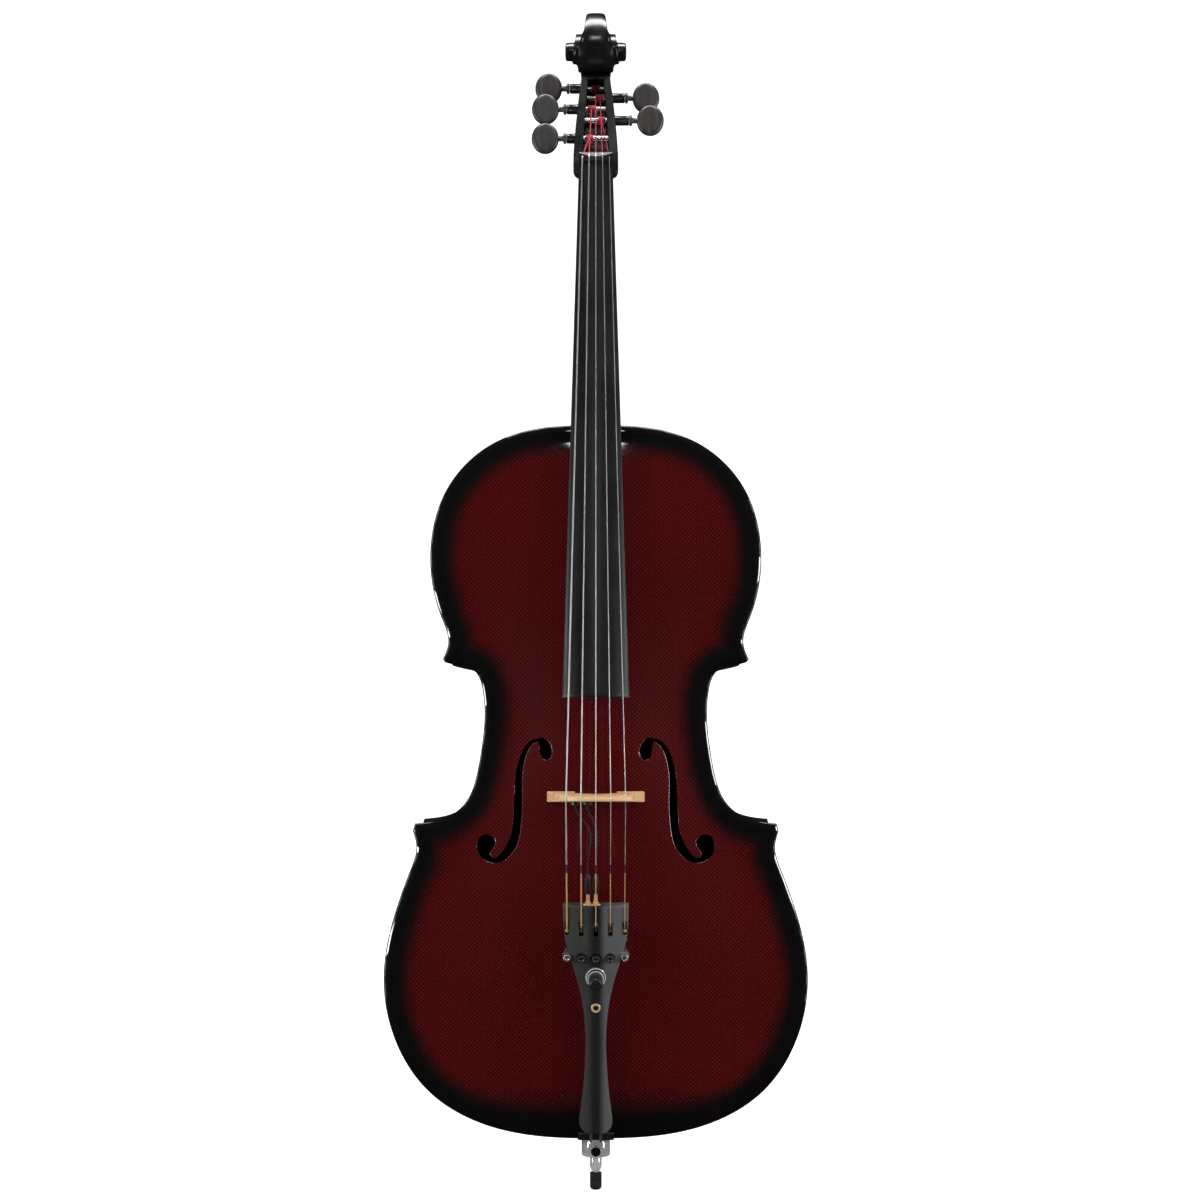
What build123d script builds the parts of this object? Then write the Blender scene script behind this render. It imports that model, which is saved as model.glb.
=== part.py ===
from build123d import *
import os
from math import cos, exp, pi, radians, sin, sqrt

# Five-string acoustic-electric cello in carbon composite, millimetres.
# +Z runs up the instrument, -Y is the front (the strings' side), +X is the treble side.
# The origin is the middle of the underside of the endpin's rubber tip, with the endpin pushed in.
# In every outline, a height is measured up from the lower edge of the body.

# ---- driving dimensions -------------------------------------------------------------------------
BODY_BOTTOM = 67.0
BODY_LENGTH = 755.5
RIB_HEIGHT = 120.0
RIB_WALL = 1.8
EDGE_OVERHANG = 4.0
PLATE_THICKNESS = 4.0
PLATE_RIM = 14.0
INSET_STEP = 8.0
INSET_REACH = 9.0
TOP_ARCH = 26.0
BACK_ARCH = 24.0
LINING_WIDTH = 6.0
LINING_DEPTH = 13.0
BASS_BAR_X = 38.0
BASS_BAR_WIDTH = 11.0
ARCH_SECTIONS = 25
ARCH_END_CROWDING = 0.08

UPPER_BOUT = [(0, 755.5), (55, 753), (109.4, 736), (159, 685.5), (175.2, 622), (163.5, 552), (156.3, 524),
              (162, 507.8)]
C_BOUT = [(159.5, 504.3), (147, 501), (128, 494.5), (120, 476), (117.8, 448), (123.2, 400), (143.3, 350), (163, 338.5),
          (191.5, 333.8)]
LOWER_BOUT = [(193.8, 326), (190, 308), (196, 285.7), (209.9, 247.7), (224.7, 171.5), (211.5, 101.7), (178.2, 51),
              (112.6, 13), (0, 0)]
ARCH_WAIST = [(0, 130), (171, 215), (330, 150), (448, 112), (540, 140), (622, 168), (755.5, 110)]

NUT_Z = 1107.0
NUT_LENGTH = 9.5
BOARD_END_Z = 532.0
BOARD_NUT_WIDTH = 36.0
BOARD_END_WIDTH = 68.5
BOARD_SIDE = 5.5
BOARD_RADIUS = 61.0
GLUE_Y_NUT = -35.5
GLUE_Y_END = -136.0

BRIDGE_Z = 430.0
BRIDGE_TOP_Y = -180.0
BRIDGE_THICK = 11.0
BRIDGE_TOP_THICK = 3.2
BRIDGE_FOOT_SPAN = 102.0
BRIDGE_FOOT_LENGTH = 29.0
BRIDGE_RADIUS = 62.0

STRING_NAMES = ["c", "g", "d", "a", "e"]
STRING_RADII = dict(c=0.85, g=0.68, d=0.56, a=0.46, e=0.41)
STRING_GAP_NUT = 7.2
STRING_GAP_BRIDGE = 15.0
STRING_HEIGHT_NUT = -46.3
GROOVE_CLEARANCE = 0.04
NUT_RADIUS = 58.0
NUT_BREAK = 4.0

# peg: string, side (-1 bass, 1 treble), height, depth, distance of the head's middle, winding's middle
PEGS = dict(
    c=dict(side=-1, z=1138.0, y=-18.0, head=54.6, wind=-7.0),
    e=dict(side=1, z=1159.0, y=-12.5, head=58.9, wind=6.0),
    g=dict(side=-1, z=1173.0, y=-6.5, head=54.6, wind=-4.8),
    a=dict(side=1, z=1187.5, y=1.5, head=54.6, wind=4.6),
    d=dict(side=-1, z=1200.0, y=8.5, head=51.4, wind=0.0),
)
POST_RADIUS = 3.2
POST_STUB = 5.0
WINDING_WIRE = 0.55
WINDING_TURNS = 7
HOUSING_RADIUS = 5.6
SLEEVE_RADIUS = 5.2
SLEEVE_BORE = 2.3
PEG_RING_RADIUS = 5.7
PEG_NECK_RADIUS = 2.9
PEG_RING_LENGTH = 3.0
PEG_RING_REACH = 22.6
PEG_HEAD_WIDTH = 29.6
PEG_HEAD_HEIGHT = 33.5
PEG_HEAD_THICK = 9.6
RUNNING_CLEARANCE = 0.05

NECK_DEPTH = 20.5
NECK_SWELL = 5.0
NECK_LEVELS = [814, 820, 824, 829, 835, 843, 853, 870, 900, 950, 1020, 1107]
HEEL_Z = 820.0
HEEL_DEPTH = 122.0
HEEL_FADE = 11.0
PEGBOX_FRONT = [(-37.5, 1095), (-35.4, 1107), (-8.5, 1208), (6, 1215)]
PEGBOX_BACK = [(37, 1225), (22, 1197), (5, 1145), (-6, 1107), (-17, 1085)]
PEGBOX_WIDTHS = [(22, 1084), (24.2, 1096), (24.2, 1117), (23, 1134), (21.4, 1154), (18.2, 1186), (16.2, 1201),
                 (15.1, 1212), (16.9, 1224), (14.5, 1244), (12.2, 1261), (9.2, 1282)]
PEGBOX_CAVITY = [(14.5, 1119), (8.5, 1206)]
CAVITY_SIDE = [(-60, 1119), (-14, 1119), (3.5, 1171), (17, 1206), (-60, 1206)]

SCROLL_Y = 8.0
SCROLL_Z = 1240.0
SCROLL_SPINE = [(-30, 33), (0, 34), (45, 38), (90, 41), (135, 37.5), (180, 32), (225, 26.5), (270, 22)]
SCROLL_TIERS = [(21.0, 44.6), (14.8, 56.0), (9.6, 67.0)]

TAIL_BOTTOM_Z = 77.0
TAIL_BOTTOM_Y = -74.0
TAIL_ANGLE = 13.8
TAIL_LENGTH = 254.0
TAIL_THICK_LOW = 9.0
TAIL_THICK_TOP = 16.0
TAIL_CROWN = 90.0
TAIL_OUTLINE = [(33.8, 254), (32.6, 224), (27.6, 200), (18, 167.5), (12.9, 139.5), (10.6, 105), (11.2, 82), (13.6, 48),
                (17, 20)]
TUNER_X = dict(c=-29.5, g=-14.8, d=0.0, a=14.8, e=29.5)
BALL_U = 225.6
BALL_N = 7.0
BALL_RADIUS = 2.1
PIVOT_U = 214.0
PIVOT_N = 2.2
PIVOT_RADIUS = 1.0
SCREW_U = 198.0
SCREW_RADIUS = 1.5
SCREW_TIP_CHAMFER = 0.85
LEVER_WIDTH = 4.0
CHANNEL_WIDTH = 5.2
CHANNEL_TOP = 7.2
KNOB_U = 178.0

SLOT_BOTTOM_U = 221.0
SLOT_TOP_U = 236.0
FORK_U = 228.2
LEVER_TOP = 3.6
SCREW_HEAD_RADIUS = 4.1
SCREW_HEAD_HEIGHT = 5.0
KNURLS = 20
EAR_RADIUS = 4.8
POT_RADIUS = 8.0
POT_TOP = 8.5
POT_BUSH_RADIUS = 3.8
SHAFT_RADIUS = 3.0
RING_TOP = 20.0
KNOB_TOP = 40.0
PLUG_X = (-8.0, 0.0)
PLUG_MIDDLE_X = -4.0
PLUG_N = 9.5
PICKUP_X = (-21.0, -9.0)
PICKUP_Y = -128.5
PICKUP_RADIUS = 5.0
CABLE_RADIUS = 0.9
SADDLE_HEIGHT = 7.0
CORD_RADIUS = 1.2

PLUG_RADIUS = 13.0
PIN_RADIUS = 5.0
PIN_TOP_Z = 455.0
TIP_RADIUS = 6.35
TIP_HEIGHT = 19.0
FERRULE_RADIUS = 6.1
FERRULE_BOTTOM_Z = 19.0
FERRULE_TOP_Z = 36.8
COLLAR_BOTTOM_Z = 37.0
COLLAR_RADIUS = 15.5
COLLAR_NECK_RADIUS = 11.5
THUMB_Z = 46.0
THUMB_SHAFT_RADIUS = 2.5

# ---- derived values -----------------------------------------------------------------------------
FRONT = -RIB_HEIGHT / 2
BACK = RIB_HEIGHT / 2
BODY_TOP = BODY_BOTTOM + BODY_LENGTH
RIB_BOTTOM = BODY_BOTTOM + EDGE_OVERHANG
BAR_CORNER = (Align.CENTER, Align.CENTER, Align.MIN)
TAIL_PLANE = Plane(
    origin=(0, TAIL_BOTTOM_Y, TAIL_BOTTOM_Z),
    x_dir=(1, 0, 0),
    z_dir=(0, -cos(radians(TAIL_ANGLE)), -sin(radians(TAIL_ANGLE))),
)


# ---- helpers ------------------------------------------------------------------------------------
def front_slab(sketch, front, back):
    """Extrude a sketch drawn in the front view (x, z) between two depths."""
    return extrude(Pos(0, back, 0) * (Plane.XZ * sketch), amount=back - front)


def side_slab(sketch, half_width):
    """Extrude a sketch drawn in the side view (y, z) to both sides of the middle."""
    return extrude(Plane.YZ * sketch, amount=half_width, both=True)


def rod(start, end, radius):
    """A round bar between two points."""
    span = Vector(*end) - Vector(*start)
    return Plane(origin=start, z_dir=span) * Cylinder(radius, span.length, align=BAR_CORNER)


def cord(points, radius):
    """A round cord along straight stretches, with a ball at each bend."""
    stretches = [rod(start, end, radius) for start, end in zip(points, points[1:])]
    bends = [Pos(*point) * Sphere(radius) for point in points[1:-1]]
    return stretches[0] + (stretches[1:] + bends)


def wire(points, radius):
    """A round wire along straight stretches, mitred at each bend."""
    line = Polyline(*points)
    return sweep(Plane(origin=line @ 0, z_dir=line % 0) * Circle(radius), path=line, transition=Transition.RIGHT)


def box_between(low, high):
    """A box from its lowest corner to its highest."""
    size = [b - a for a, b in zip(low, high)]
    middle = [(a + b) / 2 for a, b in zip(low, high)]
    return Pos(*middle) * Box(*size)


def lerp(table, value):
    """Straight-line reading of a table of (result, key) pairs, in any key order."""
    rows = sorted((key, result) for result, key in table)
    for (k0, r0), (k1, r1) in zip(rows, rows[1:]):
        if value <= k1:
            return r0 + (r1 - r0) * max(0.0, value - k0) / (k1 - k0)
    return rows[-1][1]


def glue_y(z):
    """Depth of the fingerboard's flat underside."""
    return GLUE_Y_NUT + (GLUE_Y_END - GLUE_Y_NUT) * (NUT_Z - z) / (NUT_Z - BOARD_END_Z)


def board_width(z):
    """Width of the fingerboard at a height."""
    return BOARD_NUT_WIDTH + (BOARD_END_WIDTH - BOARD_NUT_WIDTH) * (NUT_Z - z) / (NUT_Z - BOARD_END_Z)


def sag(radius, x):
    """Fall of an arc of this radius at a distance from its crest."""
    return radius - sqrt(radius**2 - x**2)


def in_tail(x, u, n):
    """A point given along the tailpiece (u) and out of its underside (n)."""
    point = TAIL_PLANE.from_local_coords(Vector(x, u, n))
    return (point.X, point.Y, point.Z)


def tail_crest(x, u):
    """Height of the tailpiece's crowned face above its underside."""
    thick = TAIL_THICK_LOW + (TAIL_THICK_TOP - TAIL_THICK_LOW) * u / TAIL_LENGTH
    return thick - sag(TAIL_CROWN, x)


# ---- body outline and arching -------------------------------------------------------------------
def across(points):
    """The same points on the bass side, in reverse order."""
    return [(-x, z) for x, z in reversed(points)]


def body_curves():
    """The four long curves of the outline, clockwise: upper bout, waist, lower bout, waist."""
    upper = Spline(*across(UPPER_BOUT), *UPPER_BOUT[1:])
    lower = Spline(*LOWER_BOUT, *across(LOWER_BOUT)[1:])
    return [upper, Spline(*C_BOUT), lower, Spline(*across(C_BOUT))]


def body_face():
    """The plates' outline: two bouts, a waist and four blunt corners."""
    curves = body_curves()
    tips = [Line(one @ 1, other @ 0) for one, other in zip(curves, curves[1:] + curves[:1])]
    return Pos(0, BODY_BOTTOM, 0) * make_face(curves + tips)


def shifted(curve, distance):
    """Points of a clockwise curve moved inwards by a distance, and run on straight at both ends."""
    points, steps = [], round(curve.length / INSET_STEP)
    for step in range(steps + 1):
        spot, run = curve @ (step / steps), curve % (step / steps)
        points.append((spot.X + distance * run.Y, spot.Y - distance * run.X))
    first, last = curve % 0, curve % 1
    before = (points[0][0] - INSET_REACH * first.X, points[0][1] - INSET_REACH * first.Y)
    after = (points[-1][0] + INSET_REACH * last.X, points[-1][1] + INSET_REACH * last.Y)
    return [before] + points + [after]


def crossing(first, second):
    """Where two chains of points cross: the place in each chain, and the point."""
    for i in reversed(range(len(first) - 1)):
        (ax, ay), (bx, by) = first[i], first[i + 1]
        for j in range(len(second) - 1):
            (cx, cy), (dx, dy) = second[j], second[j + 1]
            turn = (bx - ax) * (dy - cy) - (by - ay) * (dx - cx)
            along = ((cx - ax) * (dy - cy) - (cy - ay) * (dx - cx)) / turn
            over = ((cx - ax) * (by - ay) - (cy - ay) * (bx - ax)) / turn
            if 0 <= along <= 1 and 0 <= over <= 1:
                return i, j, (ax + along * (bx - ax), ay + along * (by - ay))
    raise ValueError("the inset curves do not meet")


def inset(distance):
    """The outline moved inwards by a distance, with sharp corners."""
    chains = [shifted(curve, distance) for curve in body_curves()]
    meets = [crossing(one, other) for one, other in zip(chains, chains[1:] + chains[:1])]
    curves = []
    for index, chain in enumerate(chains):
        _, first, start = meets[index - 1]
        last, _, end = meets[index]
        curves.append(Spline(start, *chain[first + 2:last], end))
    return Pos(0, BODY_BOTTOM, 0) * make_face(curves)


def arch_rise(x, height, arch):
    """How far an arched plate stands above its flat rim."""
    half = lerp([(w, h) for h, w in ARCH_WAIST], height) - PLATE_RIM
    along = (height - PLATE_RIM) / (BODY_LENGTH - 2 * PLATE_RIM)
    aside = min(1.0, abs(x) / half)
    along = min(1.0, max(0.0, along))
    return arch * (1 - aside**2) ** 1.7 * (1 - abs(2 * along - 1) ** 3) ** 1.3


def arch_curve(height, arch, rim_y, outward):
    """One cross-arch with its flat rims, as edges from the bass side to the treble side."""
    reach = LOWER_BOUT[4][0] + 10
    half = lerp([(w, h) for h, w in ARCH_WAIST], height) - PLATE_RIM
    crown = []
    for i in range(9):
        x = half * (i / 4 - 1)
        crown.append((x, rim_y + outward * arch_rise(x, height, arch)))
    left, right = (-reach, rim_y), (reach, rim_y)
    return [Line(left, crown[0]), Spline(*crown, tangents=[(1, 0), (1, 0)]), Line(crown[-1], right)]


def arched_solid(arch, outer_y, inner_y, outward, hollow=True):
    """A lofted sheet between two depths: arched outside, and arched or flat inside."""
    sections = []
    for j in range(ARCH_SECTIONS):
        share = j / (ARCH_SECTIONS - 1)
        height = -6 + (BODY_LENGTH + 12) * (share + ARCH_END_CROWDING * sin(2 * pi * share) * -1)
        outer = arch_curve(height, arch, outer_y, outward)
        inner = arch_curve(height, arch if hollow else 0, inner_y, outward)
        sides = [Line(outer[0] @ 0, inner[0] @ 0), Line(outer[-1] @ 1, inner[-1] @ 1)]
        sections.append(Pos(0, 0, BODY_BOTTOM + height) * make_face(outer + inner + sides))
    return loft(sections, ruled=True)


def arched_plate(outline, arch, inner_y, outward):
    """A plate of even thickness cut from an arched sheet by the outline."""
    sheet = arched_solid(arch, inner_y + outward * PLATE_THICKNESS, inner_y, outward)
    reach = inner_y + outward * (arch + PLATE_THICKNESS + 5)
    low, high = sorted([inner_y - outward * 5, reach])
    return sheet & front_slab(outline, low, high)


# ---- sound holes --------------------------------------------------------------------------------
F_UPPER_EYE = (54.3, 477.0, 5.8)
F_LOWER_EYE = (116.5, 378.5, 8.4)
F_OUTER = [(60.1, 477.0), (66.5, 481.2), (74.2, 472.5), (77.2, 450), (78.5, 422), (81.5, 391), (90.5, 366),
           (101.5, 361), (108.5, 378.5)]
F_INNER = [(48.5, 477.0), (62, 493.5), (77.5, 484), (85.3, 455), (87.8, 422), (91.5, 394), (97.5, 372.5),
           (104, 368.5), (108.1, 378.5)]


def f_hole(side):
    """One sound hole in the front view: a stem that curls into two round eyes."""
    stem = [(-x, z) for x, z in F_OUTER]
    edge = [(-x, z) for x, z in F_INNER]
    shape = make_face([Spline(*stem), Line(stem[-1], edge[-1]), Spline(*edge), Line(edge[0], stem[0])])
    for x, z, radius in (F_UPPER_EYE, F_LOWER_EYE):
        shape += Pos(-x, z) * Circle(radius)
    return shape if side < 0 else mirror(shape, about=Plane.YZ)


# ---- body shell ---------------------------------------------------------------------------------
def make_top_plate(outline):
    plate = arched_plate(outline, TOP_ARCH, FRONT, -1)
    for side in (-1, 1):
        plate -= front_slab(f_hole(side), FRONT - TOP_ARCH - 20, FRONT + 10)
    return plate


def make_back_plate(outline):
    return arched_plate(outline, BACK_ARCH, BACK, 1)


def rib_ring(outer, wall):
    """A band of the outline between two insets."""
    return inset(outer) - inset(outer + wall)


def plug_bore():
    """The hole for the endpin plug, through the ribs and the end block."""
    return rod((0, 0, BODY_BOTTOM), (0, 0, BODY_BOTTOM + 60), PLUG_RADIUS)


def make_ribs():
    return front_slab(rib_ring(EDGE_OVERHANG, RIB_WALL), FRONT, BACK) - plug_bore()


def block_zones():
    """Front-view areas of the solid blocks: neck, end and four corners."""
    neck = Pos(0, BODY_TOP - 16) * Rectangle(96, 34)
    end = Pos(0, BODY_BOTTOM + 17) * Rectangle(90, 34)
    corners = []
    for side in (-1, 1):
        corners.append(Pos(side * 156, BODY_BOTTOM + 506) * Circle(30))
        corners.append(Pos(side * 190, BODY_BOTTOM + 330) * Circle(44))
    return neck, end, corners


def make_blocks():
    """The neck block, end block and corner blocks, each from rib to rib."""
    inner = inset(EDGE_OVERHANG + RIB_WALL)
    neck, end, corners = block_zones()
    corner_blocks = Compound([front_slab(inner & zone, FRONT, BACK).solid() for zone in corners])
    return front_slab(inner & neck, FRONT, BACK), front_slab(inner & end, FRONT, BACK) - plug_bore(), corner_blocks


def make_linings():
    """Glue strips inside the ribs along both plates, between the blocks."""
    strip = rib_ring(EDGE_OVERHANG + RIB_WALL, LINING_WIDTH)
    neck, end, corners = block_zones()
    for zone in [neck, end] + corners:
        strip -= zone
    front = front_slab(strip, FRONT, FRONT + LINING_DEPTH)
    back = front_slab(strip, BACK - LINING_DEPTH, BACK)
    return Compound(list(front.solids()) + list(back.solids()))


def make_bass_bar(front_hollow):
    """A tapered bar glued inside the top plate, under the bass foot of the bridge."""
    middle = BRIDGE_Z + 25
    crest = FRONT - TOP_ARCH
    ends = [(crest, middle - 285), (crest, middle + 285)]
    belly = Spline(ends[1], (crest + 26, middle + 150), (crest + 34, middle), (crest + 26, middle - 150), ends[0])
    profile = make_face([Line(*ends), belly])
    return (Pos(-BASS_BAR_X, 0, 0) * side_slab(profile, BASS_BAR_WIDTH / 2)) & front_hollow


def make_sound_post(front_hollow, back_hollow):
    """A loose round post between the plates, just below the treble foot of the bridge."""
    post = rod((36, FRONT - TOP_ARCH, BRIDGE_Z - 22), (36, BACK + BACK_ARCH, BRIDGE_Z - 22), 5.5)
    return (post & front_hollow) + (post & back_hollow)


# ---- neck, pegbox and scroll --------------------------------------------------------------------
def neck_section(z):
    """A D-shaped slice of the neck: flat under the fingerboard, half an ellipse behind."""
    share = (NUT_Z - z) / (NUT_Z - BODY_TOP)
    heel = HEEL_DEPTH * exp(-max(0.0, z - HEEL_Z) / HEEL_FADE)
    depth = NECK_DEPTH + NECK_SWELL * share**2 + heel
    half, curve = board_width(z) / 2 - 0.5, []
    for step in range(9):
        angle = pi * step / 8
        curve.append((half * cos(angle), glue_y(z) + depth * sin(angle)))
    back = Spline(*curve, tangents=[(0, 1), (0, -1)])
    return Pos(0, 0, z) * make_face([back, Line(back @ 1, back @ 0)])


def pegbox_side():
    """Side view of the pegbox and the scroll's spine."""
    front = Polyline(*PEGBOX_FRONT)
    back = Spline(*PEGBOX_BACK)
    box = make_face([front, Line(PEGBOX_FRONT[-1], PEGBOX_BACK[0]), back, Line(PEGBOX_BACK[-1], PEGBOX_FRONT[0])])
    rim = []
    for angle, radius in SCROLL_SPINE:
        rim.append((SCROLL_Y + radius * cos(radians(angle)), SCROLL_Z + radius * sin(radians(angle))))
    return box + make_face([Spline(*rim), Line(rim[-1], rim[0])])


def taper_face(table):
    """A front-view shape from half-widths and heights, even about the middle."""
    right = [(x, z) for x, z in table]
    left = [(-x, z) for x, z in reversed(table)]
    return make_face(Polyline(*right, *left, close=True))


def cavity_half(z):
    """Half the width of the pegbox's opening at a height."""
    (low_x, low_z), (top_x, top_z) = PEGBOX_CAVITY
    return low_x + (top_x - low_x) * (z - low_z) / (top_z - low_z)


def make_neck(outline):
    """Neck, heel, pegbox and scroll in one moulding, with the pegs' bores."""
    neck = loft([neck_section(z) for z in NECK_LEVELS], ruled=True)
    head = side_slab(pegbox_side(), 30) & front_slab(taper_face(PEGBOX_WIDTHS), -90, 90)
    neck += head
    for radius, width in SCROLL_TIERS:
        neck += Pos(0, SCROLL_Y, SCROLL_Z) * Rot(0, 90, 0) * Cylinder(radius, width)
    neck -= side_slab(make_face(Polyline(*CAVITY_SIDE, close=True)), 30) & front_slab(
        taper_face(PEGBOX_CAVITY), -90, 90)
    for peg in PEGS.values():
        near, far, side = peg_wall(peg), cavity_half(peg["z"]) + POST_STUB, peg["side"]
        neck -= peg_rod(peg, 0, near + 10, HOUSING_RADIUS + RUNNING_CLEARANCE)
        neck -= peg_rod(peg, -far, 0, POST_RADIUS + RUNNING_CLEARANCE)
    body = front_slab(inset(EDGE_OVERHANG), FRONT, BACK)
    for inner, outer in ((FRONT, FRONT - PLATE_THICKNESS), (BACK, BACK + PLATE_THICKNESS)):
        body += front_slab(outline, min(inner, outer), max(inner, outer))
    neck -= body
    low = box_between((-40, -200, BODY_TOP - 30), (40, 200, BODY_TOP - EDGE_OVERHANG))
    return (neck - low).solids().sort_by(SortBy.VOLUME)[-1]


def make_fingerboard():
    """A board with a round playing face, tapered in width from nut to end."""
    sections = []
    for z in (BOARD_END_Z, NUT_Z):
        half, base = board_width(z) / 2, glue_y(z)
        shoulder = base - BOARD_SIDE
        crest = shoulder - sag(BOARD_RADIUS, half)
        arc = ThreePointArc((-half, shoulder), (0, crest), (half, shoulder))
        corners = [(half, shoulder), (half, base), (-half, base), (-half, shoulder)]
        sections.append(Pos(0, 0, z) * make_face([arc, Polyline(*corners)]))
    return loft(sections, ruled=True)


def make_nut():
    """The nut, highest where the strings break over it, with a groove for each string."""
    half, base = BOARD_NUT_WIDTH / 2, glue_y(NUT_Z)
    crest = STRING_HEIGHT_NUT - 0.1
    shoulder = crest + sag(NUT_RADIUS, half)
    arc = ThreePointArc((-half, shoulder), (0, crest), (half, shoulder))
    foot = Polyline((half, shoulder), (half, base), (-half, base), (-half, shoulder))
    block = extrude(Pos(0, 0, NUT_Z) * make_face([arc, foot]), amount=NUT_LENGTH)
    fall = (NUT_LENGTH - NUT_BREAK) * 0.6
    slope = make_face(Polyline((crest - 5, NUT_Z), (base, NUT_Z), (base, NUT_Z + NUT_LENGTH),
                               (crest + fall, NUT_Z + NUT_LENGTH), (crest - 0.3, NUT_Z + NUT_BREAK),
                               (crest - 5, NUT_Z + NUT_BREAK), close=True))
    nut = block & side_slab(slope, 40)
    for name in STRING_NAMES:
        nut -= wire(string_path(name)[:3], STRING_RADII[name] + GROOVE_CLEARANCE)
    return nut - side_slab(pegbox_side(), 30)


# ---- pegs ---------------------------------------------------------------------------------------
def peg_wall(peg):
    """Distance of the pegbox's outer wall from the middle, at a peg."""
    return lerp(PEGBOX_WIDTHS, peg["z"])


def peg_rod(peg, inner, outer, radius):
    """A round bar on a peg's axis, between two distances towards the peg's head."""
    side = peg["side"]
    return rod((side * inner, peg["y"], peg["z"]), (side * outer, peg["y"], peg["z"]), radius)


def make_peg_housing(peg):
    """The fixed shell of a geared peg: a plug in the wall and a sleeve outside it."""
    wall = peg_wall(peg)
    ring = peg["head"] - PEG_RING_REACH
    shell = peg_rod(peg, cavity_half(peg["z"]), wall + 0.5, HOUSING_RADIUS)
    shell += peg_rod(peg, wall, ring - 0.2, SLEEVE_RADIUS)
    return shell - peg_rod(peg, 0, ring + 1, SLEEVE_BORE + RUNNING_CLEARANCE)


def make_peg_head(peg):
    """An oval grip with a neck, a ring and the input shaft of the gearing."""
    middle = peg["head"]
    grip = scale(Sphere(1), by=(PEG_HEAD_WIDTH / 2, PEG_HEAD_THICK / 2, PEG_HEAD_HEIGHT / 2))
    head = Pos(peg["side"] * middle, peg["y"], peg["z"]) * grip
    ring = middle - PEG_RING_REACH
    head += peg_rod(peg, ring, middle - 5, PEG_NECK_RADIUS)
    head += peg_rod(peg, ring, ring + PEG_RING_LENGTH, PEG_RING_RADIUS)
    return head + peg_rod(peg, peg_wall(peg) - 1.5, ring + 1, SLEEVE_BORE)


def make_peg_post(peg):
    """The driven post: a stub in the housing, a string post and a far end in the other wall."""
    half = cavity_half(peg["z"])
    post = peg_rod(peg, -(half + POST_STUB - 0.3), half - 0.4, POST_RADIUS)
    return post + peg_rod(peg, half - 1, peg_wall(peg) - 2.5, SLEEVE_BORE)


def winding_radius():
    """Outer radius of a string's turns on its post."""
    return POST_RADIUS + RUNNING_CLEARANCE + 2 * WINDING_WIRE


def make_winding(peg):
    """Turns of silk-wrapped string on the post, as one ribbed sleeve."""
    pitch = 1.9 * WINDING_WIRE
    start = peg["side"] * peg["wind"] - pitch * (WINDING_TURNS - 1) / 2
    inner = POST_RADIUS + RUNNING_CLEARANCE
    sleeve = peg_rod(peg, start, start + pitch * (WINDING_TURNS - 1), inner + WINDING_WIRE)
    for turn in range(WINDING_TURNS):
        spot = Pos(peg["side"] * (start + pitch * turn), peg["y"], peg["z"]) * Rot(0, 90, 0)
        sleeve += spot * Torus(inner + WINDING_WIRE, WINDING_WIRE)
    return sleeve - peg_rod(peg, start - 3, start + 3 + pitch * WINDING_TURNS, inner)


# ---- strings and bridge -------------------------------------------------------------------------
def string_path(name):
    """A string's middle line: winding, nut, bridge, tailpiece edge, slot and ball."""
    index, radius, peg = STRING_NAMES.index(name) - 2, STRING_RADII[name], PEGS[name]
    nut_x, bridge_x, tail_x = index * STRING_GAP_NUT, index * STRING_GAP_BRIDGE, TUNER_X[name]
    lift = radius + 0.3
    return [
        (peg["wind"], peg["y"] - winding_radius() - radius - 0.06, peg["z"]),
        (nut_x, STRING_HEIGHT_NUT + sag(NUT_RADIUS, nut_x), NUT_Z + NUT_BREAK),
        (bridge_x, BRIDGE_TOP_Y + sag(BRIDGE_RADIUS, bridge_x), BRIDGE_Z),
        in_tail(tail_x, TAIL_LENGTH - 2, tail_crest(tail_x, TAIL_LENGTH - 2) + lift),
        in_tail(tail_x, SLOT_TOP_U - 0.5, tail_crest(tail_x, SLOT_TOP_U - 0.5) + lift),
        in_tail(tail_x, BALL_U, BALL_N),
    ]


def make_string(name):
    path = string_path(name)
    return wire(path, STRING_RADII[name]) + Pos(*path[-1]) * Sphere(BALL_RADIUS)


def bridge_face():
    """The bridge seen along the strings, as (x, y)."""
    base = FRONT - TOP_ARCH + 6
    crown_half, crown = 37.5, BRIDGE_TOP_Y + 0.3
    corner = (crown_half, crown + sag(BRIDGE_RADIUS, crown_half))
    foot_out, foot_in = BRIDGE_FOOT_SPAN / 2, BRIDGE_FOOT_SPAN / 2 - BRIDGE_FOOT_LENGTH
    flank = [(foot_out, base - 9), (45, base - 22), (38.5, base - 36), (37, base - 48), (41.5, base - 57),
             (38, base - 66), corner]
    arch = [(foot_in, base - 9), (24, base - 22), (17, base - 36), (0, base - 42)]
    half = [
        Spline(*flank),
        Line(flank[0], (foot_out, base)),
        Line((foot_out, base), (foot_in, base)),
        Line((foot_in, base), arch[0]),
        Spline(*arch, tangents=[(0.6, -1), (-1, 0)]),
    ]
    edges = half + [mirror(edge, about=Plane.YZ) for edge in half]
    face = make_face(edges + [ThreePointArc((-corner[0], corner[1]), (0, crown), corner)])
    face -= Pos(0, base - 62) * Circle(7.5)
    for side in (-1, 1):
        face -= Pos(side * 27, base - 55) * Rot(0, 0, side * 35) * SlotOverall(20, 8.5)
    return face


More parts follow.
